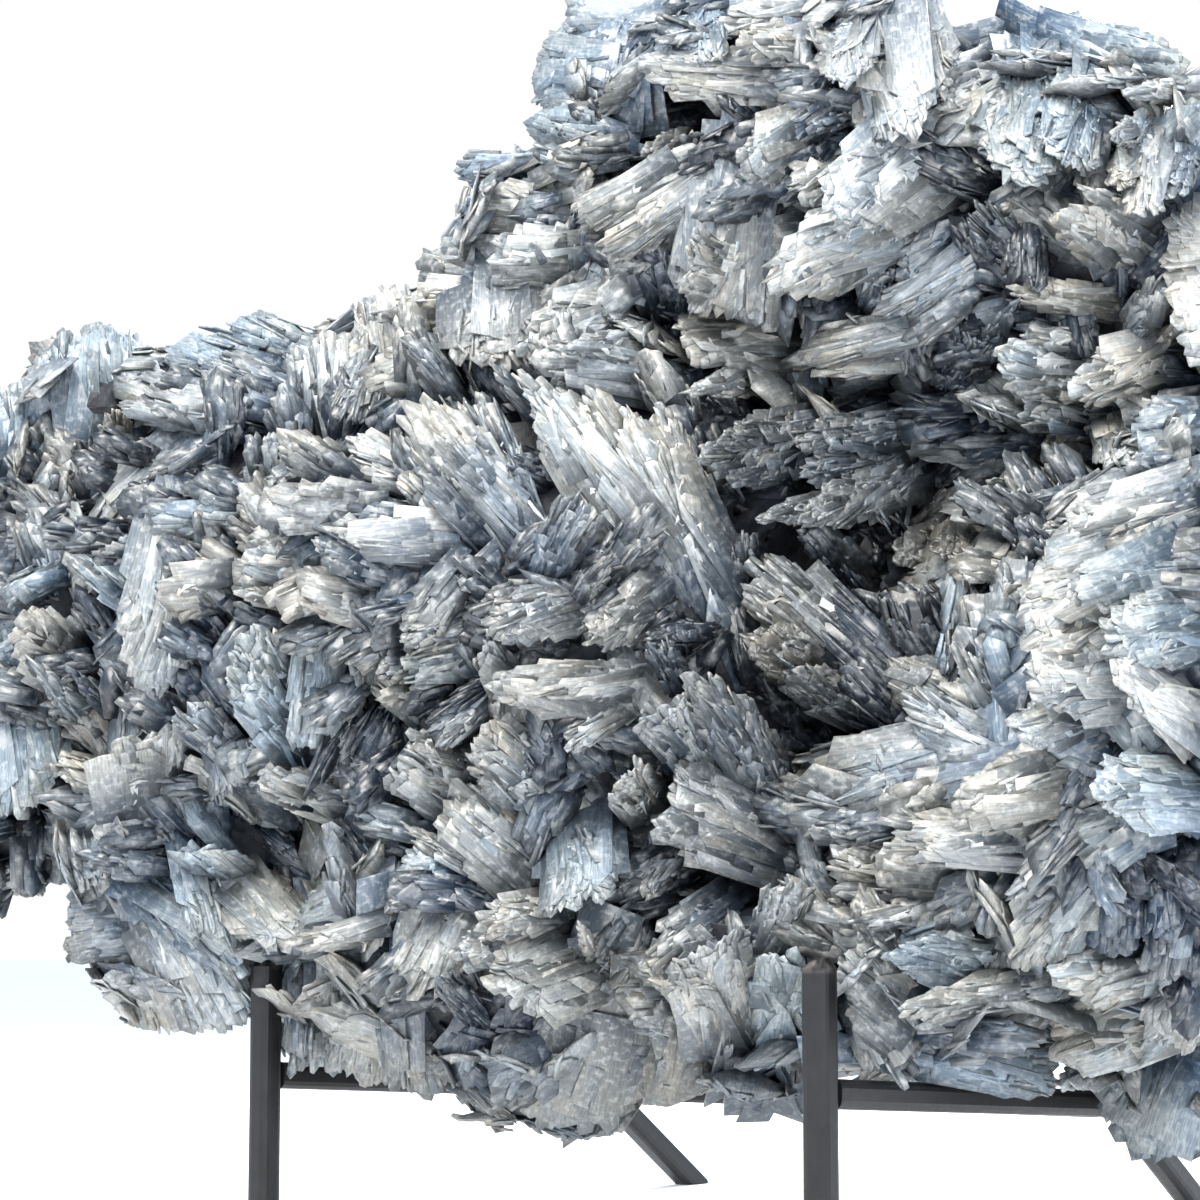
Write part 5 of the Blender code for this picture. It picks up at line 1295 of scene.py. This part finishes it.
def blade_tints(blades, chance, u, edge):
    """The tints of blades' corners: dark at the root, pale at the tip and along the edges."""
    level = each(blades, "level")[:, None]
    start = each(blades, "start")[:, None]
    light = each(blades, "light")[:, None, None]
    reach = start + (level - start) * u
    tones = np.array([TONES[blade.tone] for blade in blades])[:, :, None, :]
    body = smooth(reach * 1.5)[..., None]
    tip = smooth((u - 0.62) / 0.38) * (0.2 + 0.8 * level * level)
    milk = np.array([MILKINESS[blade.tone] for blade in blades])[:, None]
    tip = (np.maximum(tip, EDGE_PALENESS * edge * level) * (1 - 0.45 * milk))[..., None]
    tint = tones[:, 0] * (1 - body) + tones[:, 1] * body
    tint = tint * (1 - tip) + tones[:, 2] * tip
    tint = tint * light * (1 + chance.normal(0, BLADE_DRIFT, (len(blades), 1, 1)) * WARM_TO_COOL)
    milk = np.broadcast_to(milk[..., None], u.shape + (1,))
    return np.clip(np.concatenate([tint, milk], axis=-1), 0.0, 1.0)


def blade_arrays(shape, blades, chance):
    """Points, corners, face sizes, tints and grain of all blades of one shape."""
    outline = np.array(BLADES[shape])
    count = len(outline)
    total = len(blades)
    points, u, v = blade_points(outline, blades, chance)
    faces = shape_faces(count)
    lengths = np.array([len(face) for face in faces])
    order = np.tile([corner for face in faces for corner in face], (total, 1))
    order[v[:, 0] * outline[0, 1] < 0] = [corner for face in faces for corner in face[::-1]]
    u = np.take_along_axis(u, order % count, axis=1)
    v = np.take_along_axis(v, order % count, axis=1)
    edge = np.repeat([0, 0] + [1] * count, lengths)[None, :]
    tint = blade_tints(blades, chance, u, edge)
    offset = chance.uniform(0, GRAIN_REACH, (total, 1))
    size = each(blades, "size")
    grain = np.stack([u * size[:, :1] + offset, v * size[:, 1:2] + offset], axis=-1)
    return points, order, lengths, tint, grain


def slow_drift(points):
    """A slow change from cool at -1 to warm at 1 over the crystal."""
    x, y, z = points.T * (2 * math.pi / DRIFT_LENGTH)
    waves = np.sin(x + 1.7 * np.sin(z + 0.8)) + np.sin(1.3 * z + 2.1 * np.sin(y)) + np.sin(2.3 * x - 1.9 * z)
    return smooth(waves / 4 + 0.5) * 2 - 1


def blades_object(name, fans, blades, cell, material, seed):
    """One mesh of many groups' bodies and blades, with a tint and a grain for each corner."""
    chance = np.random.default_rng(seed)
    groups = collections.defaultdict(list)
    for blade in blades:
        groups[blade.shape].append(blade)
    points = []
    corners = []
    sizes = []
    tints = []
    grains = []
    offset = 0
    for fan in fans:
        made = leaf_arrays(fan, chance, cell)
        points.append(made[0])
        corners.append(made[1] + offset)
        sizes.append(made[2])
        tints.append(made[3])
        grains.append(made[4])
        offset += len(made[0])
    for shape in sorted(groups):
        made = blade_arrays(shape, groups[shape], chance)
        total, per_blade = made[0].shape[:2]
        points.append(made[0].reshape(-1, 3))
        shift = offset + np.arange(total)[:, None] * per_blade
        corners.append((made[1] + shift).ravel())
        sizes.append(np.tile(made[2], total))
        tints.append(made[3].reshape(-1, 4))
        grains.append(made[4].reshape(-1, 2))
        offset += total * per_blade
    points = np.concatenate(points)
    corners = np.concatenate(corners)
    sizes = np.concatenate(sizes)
    tints = np.concatenate(tints)
    tints[:, :3] *= 1 + DRIFT * slow_drift(points)[corners, None] * WARM_TO_COOL
    grains = np.concatenate(grains)

    mesh = bpy.data.meshes.new(name)
    mesh.vertices.add(len(points))
    mesh.vertices.foreach_set("co", view_to_row(points).ravel())
    mesh.loops.add(len(corners))
    mesh.loops.foreach_set("vertex_index", corners.astype(np.int32))
    mesh.polygons.add(len(sizes))
    starts = np.concatenate([[0], np.cumsum(sizes)[:-1]])
    mesh.polygons.foreach_set("loop_start", starts.astype(np.int32))
    colour = mesh.color_attributes.new("tint", "FLOAT_COLOR", "CORNER")
    colour.data.foreach_set("color", tints.astype(np.float32).ravel())
    grain = mesh.attributes.new("grain", "FLOAT2", "CORNER")
    grain.data.foreach_set("vector", grains.astype(np.float32).ravel())
    mesh.update(calc_edges=True)
    mesh.validate()
    mesh.materials.append(material)
    obj = bpy.data.objects.new(name, mesh)
    bpy.context.scene.collection.objects.link(obj)
    return obj


def view_to_row(points):
    """Many points seen from the camera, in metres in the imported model's axes."""
    origin = np.array(row_point(Vector((0, 0, 0))))
    axes = [np.array(row_point(Vector(axis))) - origin for axis in ((1, 0, 0), (0, 1, 0), (0, 0, 1))]
    return origin + points @ np.array(axes)


def core_lump(name, lump, shrink, group):
    maker = bmesh.new()
    bmesh.ops.create_icosphere(maker, subdivisions=CORE_LEVEL, radius=1.0)
    centre, half = lump_frame(lump)
    for vert in maker.verts:
        local = Vector([vert.co[i] * (half[i] - shrink) for i in range(3)])
        vert.co = row_point(centre + local)
    mesh = bpy.data.meshes.new(name)
    bmesh.ops.recalc_face_normals(maker, faces=maker.faces)
    maker.to_mesh(mesh)
    maker.free()
    obj = bpy.data.objects.new(name, mesh)
    group.objects.link(obj)
    return obj


def core_object(material):
    """The mass that the blades grow from, with the hollows cut out of it."""
    group = bpy.data.collections.new("lumps")
    cuts = bpy.data.collections.new("hollows")
    for index, lump in enumerate(LUMPS[1:]):
        core_lump(f"lump_{index}", lump, CORE_SHRINK, group)
    for index, hollow in enumerate(HOLLOWS):
        core_lump(f"hollow_{index}", hollow, -CORE_SHRINK, cuts)
    core = core_lump("core", LUMPS[0], CORE_SHRINK, bpy.context.scene.collection)
    for operation, operands in (("UNION", group), ("DIFFERENCE", cuts)):
        modifier = core.modifiers.new(operation.title(), "BOOLEAN")
        modifier.operation = operation
        modifier.solver = "EXACT"
        modifier.operand_type = "COLLECTION"
        modifier.collection = operands
    bpy.context.view_layer.update()
    graph = bpy.context.evaluated_depsgraph_get()
    mesh = bpy.data.meshes.new_from_object(core.evaluated_get(graph))
    core.modifiers.clear()
    core.data = mesh
    for made in (group, cuts):
        for obj in list(made.objects):
            bpy.data.objects.remove(obj)
        bpy.data.collections.remove(made)
    mesh.materials.clear()
    mesh.materials.append(material)
    return core


def node(tree, kind, inputs=(), **settings):
    """A shader node with its settings and its inputs' values or links."""
    made = tree.nodes.new("ShaderNode" + kind)
    for name, value in settings.items():
        setattr(made, name, value)
    for name, value in dict(inputs).items():
        if isinstance(value, bpy.types.NodeSocket):
            tree.links.new(value, made.inputs[name])
        else:
            made.inputs[name].default_value = value
    return made


def new_material(name):
    material = bpy.data.materials.new(name)
    material.use_nodes = True
    tree = material.node_tree
    return material, tree, tree.nodes["Principled BSDF"]


def ramp(tree, factor, low, high):
    """A value carried from 0 at low to 1 at high."""
    made = node(tree, "MapRange", {"Value": factor, "From Min": low, "From Max": high})
    made.clamp = True
    return made.outputs["Result"]


def mixed(tree, factor, first, second, blend="MIX"):
    made = node(tree, "Mix", data_type="RGBA", blend_type=blend)
    for socket, value in zip((made.inputs[0], made.inputs[6], made.inputs[7]), (factor, first, second)):
        if isinstance(value, bpy.types.NodeSocket):
            tree.links.new(value, socket)
        else:
            socket.default_value = value
    return made.outputs[2]


def blade_material():
    """Frosted pale blue barite: tinted blades with fine grain along them and milky clouds."""
    material, tree, shader = new_material("barite_blades")
    painted = node(tree, "Attribute", attribute_name="tint")
    tint = painted.outputs["Color"]
    milk = painted.outputs["Alpha"]
    grain = node(tree, "Attribute", attribute_name="grain").outputs["Vector"]
    long_grain = node(tree, "Mapping", {"Vector": grain, "Scale": (0.12, 1.3, 1.0)})
    streaks = node(
        tree, "TexNoise", {"Vector": long_grain.outputs[0], "Scale": 1.0, "Detail": 2.0, "Roughness": 0.6}
    ).outputs["Fac"]
    clouds = node(
        tree, "TexNoise", {"Vector": grain, "Scale": 0.32, "Detail": 2.0, "Roughness": 0.6}
    ).outputs["Fac"]
    veins = node(tree, "MapRange", {"Value": milk, "To Min": 1.0, "To Max": 0.55}).outputs["Result"]
    veined = node(
        tree, "Math", {0: ramp(tree, streaks, 0.62, 0.38), 1: veins}, operation="MULTIPLY"
    ).outputs[0]
    darker = mixed(tree, veined, tint, (0.33, 0.41, 0.52, 1), "MULTIPLY")
    cloudy = mixed(tree, ramp(tree, clouds, 0.50, 0.72), darker, (0.73, 0.75, 0.745, 1), "SCREEN")
    veil = node(tree, "MapRange", {"Value": milk, "To Min": 0.16, "To Max": 0.36}).outputs["Result"]
    veiled = mixed(tree, veil, darker, cloudy)
    tree.links.new(veiled, shader.inputs["Base Color"])
    rough = node(tree, "MapRange", {"Value": streaks, "To Min": 0.22, "To Max": 0.55})
    tree.links.new(rough.outputs["Result"], shader.inputs["Roughness"])
    shader.inputs["IOR"].default_value = 1.64
    return material


def core_material():
    """The mass between the blades: painted near black as shade where it faces the front, in the gaps, and
    grey-blue behind.
    """
    material, tree, shader = new_material("barite_core")
    place = node(tree, "TexCoord").outputs["Object"]
    clouds = node(tree, "TexNoise", {"Vector": place, "Scale": 90.0, "Detail": 5.0}).outputs["Fac"]
    # Painted shade: near black, for the faces that look to the front from deep in the gaps.
    deep = mixed(tree, ramp(tree, clouds, 0.35, 0.7), (0.002, 0.003, 0.006, 1), (0.014, 0.019, 0.028, 1))
    front = (row_point(Vector((0, 0, 0))) - row_point(Vector((0, 1, 0)))).normalized()
    normal = node(tree, "NewGeometry").outputs["Normal"]
    facing = node(tree, "VectorMath", {0: normal, 1: front}, operation="DOT_PRODUCT").outputs["Value"]
    plain = mixed(tree, ramp(tree, clouds, 0.35, 0.65), (0.05, 0.065, 0.085, 1), (0.15, 0.18, 0.205, 1))
    colour = mixed(tree, ramp(tree, facing, 0.45, 0.15), deep, plain)
    tree.links.new(colour, shader.inputs["Base Color"])
    shader.inputs["Roughness"].default_value = 0.6
    bump = node(tree, "Bump", {"Height": clouds, "Strength": 1.0, "Distance": 0.003})
    tree.links.new(bump.outputs["Normal"], shader.inputs["Normal"])
    return material


def paint_material():
    """Satin black paint on steel bar, rubbed through on the ground-off tops of the uprights, which are
    painted lighter as bare steel and partly as a painted highlight.
    """
    material, tree, shader = new_material("black_paint")
    place = node(tree, "TexCoord").outputs["Object"]
    orange_peel = node(tree, "TexNoise", {"Vector": place, "Scale": 420.0, "Detail": 3.0}).outputs["Fac"]
    wear = node(tree, "TexNoise", {"Vector": place, "Scale": 150.0, "Detail": 5.0}).outputs["Fac"]
    height = node(tree, "SeparateXYZ", {"Vector": place}).outputs["Z"]
    top = ramp(tree, height, (UPRIGHT_TOP - 5) * MILLIMETRE, (UPRIGHT_TOP - 0.5) * MILLIMETRE)
    # Painted lighter at the tops: bare steel where the paint is rubbed off, and partly a painted highlight.
    worn_top_and_highlight = node(tree, "Math", {0: top, 1: ramp(tree, wear, 0.48, 0.62)}, operation="MULTIPLY")
    base = mixed(tree, ramp(tree, wear, 0.3, 0.7), (0.004, 0.004, 0.005, 1), (0.009, 0.009, 0.010, 1))
    colour = mixed(tree, worn_top_and_highlight.outputs[0], base, (0.16, 0.14, 0.125, 1))
    tree.links.new(colour, shader.inputs["Base Color"])
    rough = node(tree, "MapRange", {"Value": orange_peel, "To Min": 0.30, "To Max": 0.50})
    tree.links.new(rough.outputs["Result"], shader.inputs["Roughness"])
    bump = node(tree, "Bump", {"Height": orange_peel, "Strength": 0.25, "Distance": 0.0004})
    tree.links.new(bump.outputs["Normal"], shader.inputs["Normal"])
    shader.inputs["Specular IOR Level"].default_value = 0.4
    return material


def floor_object():
    """A wide pale floor."""
    maker = bmesh.new()
    bmesh.ops.create_circle(maker, cap_ends=True, segments=8, radius=30.0)
    mesh = bpy.data.meshes.new("floor")
    maker.to_mesh(mesh)
    maker.free()
    floor = bpy.data.objects.new("floor", mesh)
    bpy.context.scene.collection.objects.link(floor)
    material, tree, shader = new_material("pale_floor")
    shader.inputs["Base Color"].default_value = (0.86, 0.87, 0.88, 1)
    shader.inputs["Roughness"].default_value = 0.7
    shader.inputs["Emission Color"].default_value = (1, 1, 1, 1)
    shader.inputs["Emission Strength"].default_value = FLOOR_GLOW
    mesh.materials.append(material)
    floor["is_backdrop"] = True


def camera():
    data = bpy.data.cameras.new("camera")
    data.sensor_width = SENSOR_WIDTH
    data.lens = SENSOR_WIDTH * FOCAL / (2 * PICTURE_CENTRE)
    data.clip_end = 100
    made = bpy.data.objects.new("camera", data)
    bpy.context.scene.collection.objects.link(made)
    made.location = row_point(Vector((0, 0, 0)))
    ahead = row_point(Vector((0, math.cos(PITCH), math.sin(PITCH)))) - made.location
    made.rotation_euler = ahead.to_track_quat("-Z", "Y").to_euler()
    bpy.context.scene.camera = made


def area_light(name, place, aim, side, power, colour):
    """A soft square light, placed and aimed in mm as seen from the camera."""
    data = bpy.data.lights.new(name, "AREA")
    data.size = side
    data.energy = power
    data.color = colour
    made = bpy.data.objects.new(name, data)
    bpy.context.scene.collection.objects.link(made)
    made.location = row_point(Vector(place))
    made.rotation_euler = (row_point(Vector(aim)) - made.location).to_track_quat("-Z", "Y").to_euler()


def lights():
    world = bpy.data.worlds.new("studio")
    world.use_nodes = True
    tree = world.node_tree
    background = tree.nodes["Background"]
    background.inputs["Color"].default_value = (0.80, 0.95, 1.17, 1)
    background.inputs["Strength"].default_value = WORLD_LIGHT
    seen = node(tree, "Background", {"Color": (1, 1, 1, 1), "Strength": 1.0})
    choose = node(tree, "MixShader")
    tree.links.new(node(tree, "LightPath").outputs["Is Camera Ray"], choose.inputs[0])
    tree.links.new(background.outputs[0], choose.inputs[1])
    tree.links.new(seen.outputs[0], choose.inputs[2])
    tree.links.new(choose.outputs[0], tree.nodes["World Output"].inputs["Surface"])
    bpy.context.scene.world = world
    middle = (0, 1080, 120)
    area_light("key", (-450, 350, 1150), middle, 0.8, 41, (1.0, 0.95, 0.87))
    area_light("front", (250, 100, 500), middle, 0.25, 6, (1.0, 0.97, 0.93))
    area_light("back", (500, 2300, 1100), middle, 1.2, 52, (1.0, 0.98, 0.95))


def main():
    chance = random.Random(SEED)
    front = front_fans(chance)
    for fan, group in zip(front, GROUPS):
        fan.tone = group.tone
        fan.width *= FRONT_WIDTH_SCALE
        middle = ((group.tip[0] + group.root[0]) / 2, (group.tip[1] + group.root[1]) / 2)
        fan.light = light_at(middle)
        fan.curl = 0.0
    back = back_fans(chance)
    chance = random.Random(SEED + 1)
    for fan in back:
        fan.tone = chance.choice(("pale", "blue", "mid", "tan", "white"))
        fan.light = 1.0
        fan.curl = chance.gauss(0, 0.04)
    for fan in front:
        lean_over(fan, chance)
        fan.light *= FRONT_LIGHT
    back = [fan for fan in back if not stands_out(fan)]
    boxes = bar_boxes()
    blade_look = blade_material()
    third = len(front) // 3
    between = front_tufts(chance, front)
    behind = back + back_tufts(chance)
    pieces = (
        ("crystals_top", front[:third], FRONT_BLADES, FRONT_CELL),
        ("crystals_middle", front[third : 2 * third], FRONT_BLADES, FRONT_CELL),
        ("crystals_base", front[2 * third :], FRONT_BLADES, FRONT_CELL),
        ("crystals_between_upper", between[: len(between) // 2], TUFT_BLADES, TUFT_CELL),
        ("crystals_between_lower", between[len(between) // 2 :], TUFT_BLADES, TUFT_CELL),
        ("crystals_back_first", behind[: len(behind) // 2], BACK_BLADES, BACK_CELL),
        ("crystals_back_second", behind[len(behind) // 2 :], BACK_BLADES, BACK_CELL),
    )
    for index, (name, fans, counts, cell) in enumerate(pieces):
        blades = [blade for fan in fans for blade in blades_of(fan, chance, counts)]
        blades = [blade for blade in blades if clear_of_stand(blade, boxes)]
        fans = [fan for fan in fans if leaf_clear(fan, boxes)]
        piece = blades_object(name, fans, blades, cell, blade_look, SEED + index)
        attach(piece, "root")
        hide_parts("barite_cluster")
    core = core_object(core_material())
    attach(core, "root")
    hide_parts("barite_cluster")
    paint = paint_material()
    for name, obj in frame["nodes"].items():
        if name != "barite_cluster":
            obj.data.materials.clear()
            obj.data.materials.append(paint)
    floor_object()
    camera()
    lights()
    bpy.context.scene.view_settings.view_transform = "Standard"
    boxes = {
        "cad": [list(corner) for corner in CAD_BOUNDS],
        "visual": [list(corner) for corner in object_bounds()],
    }


main()
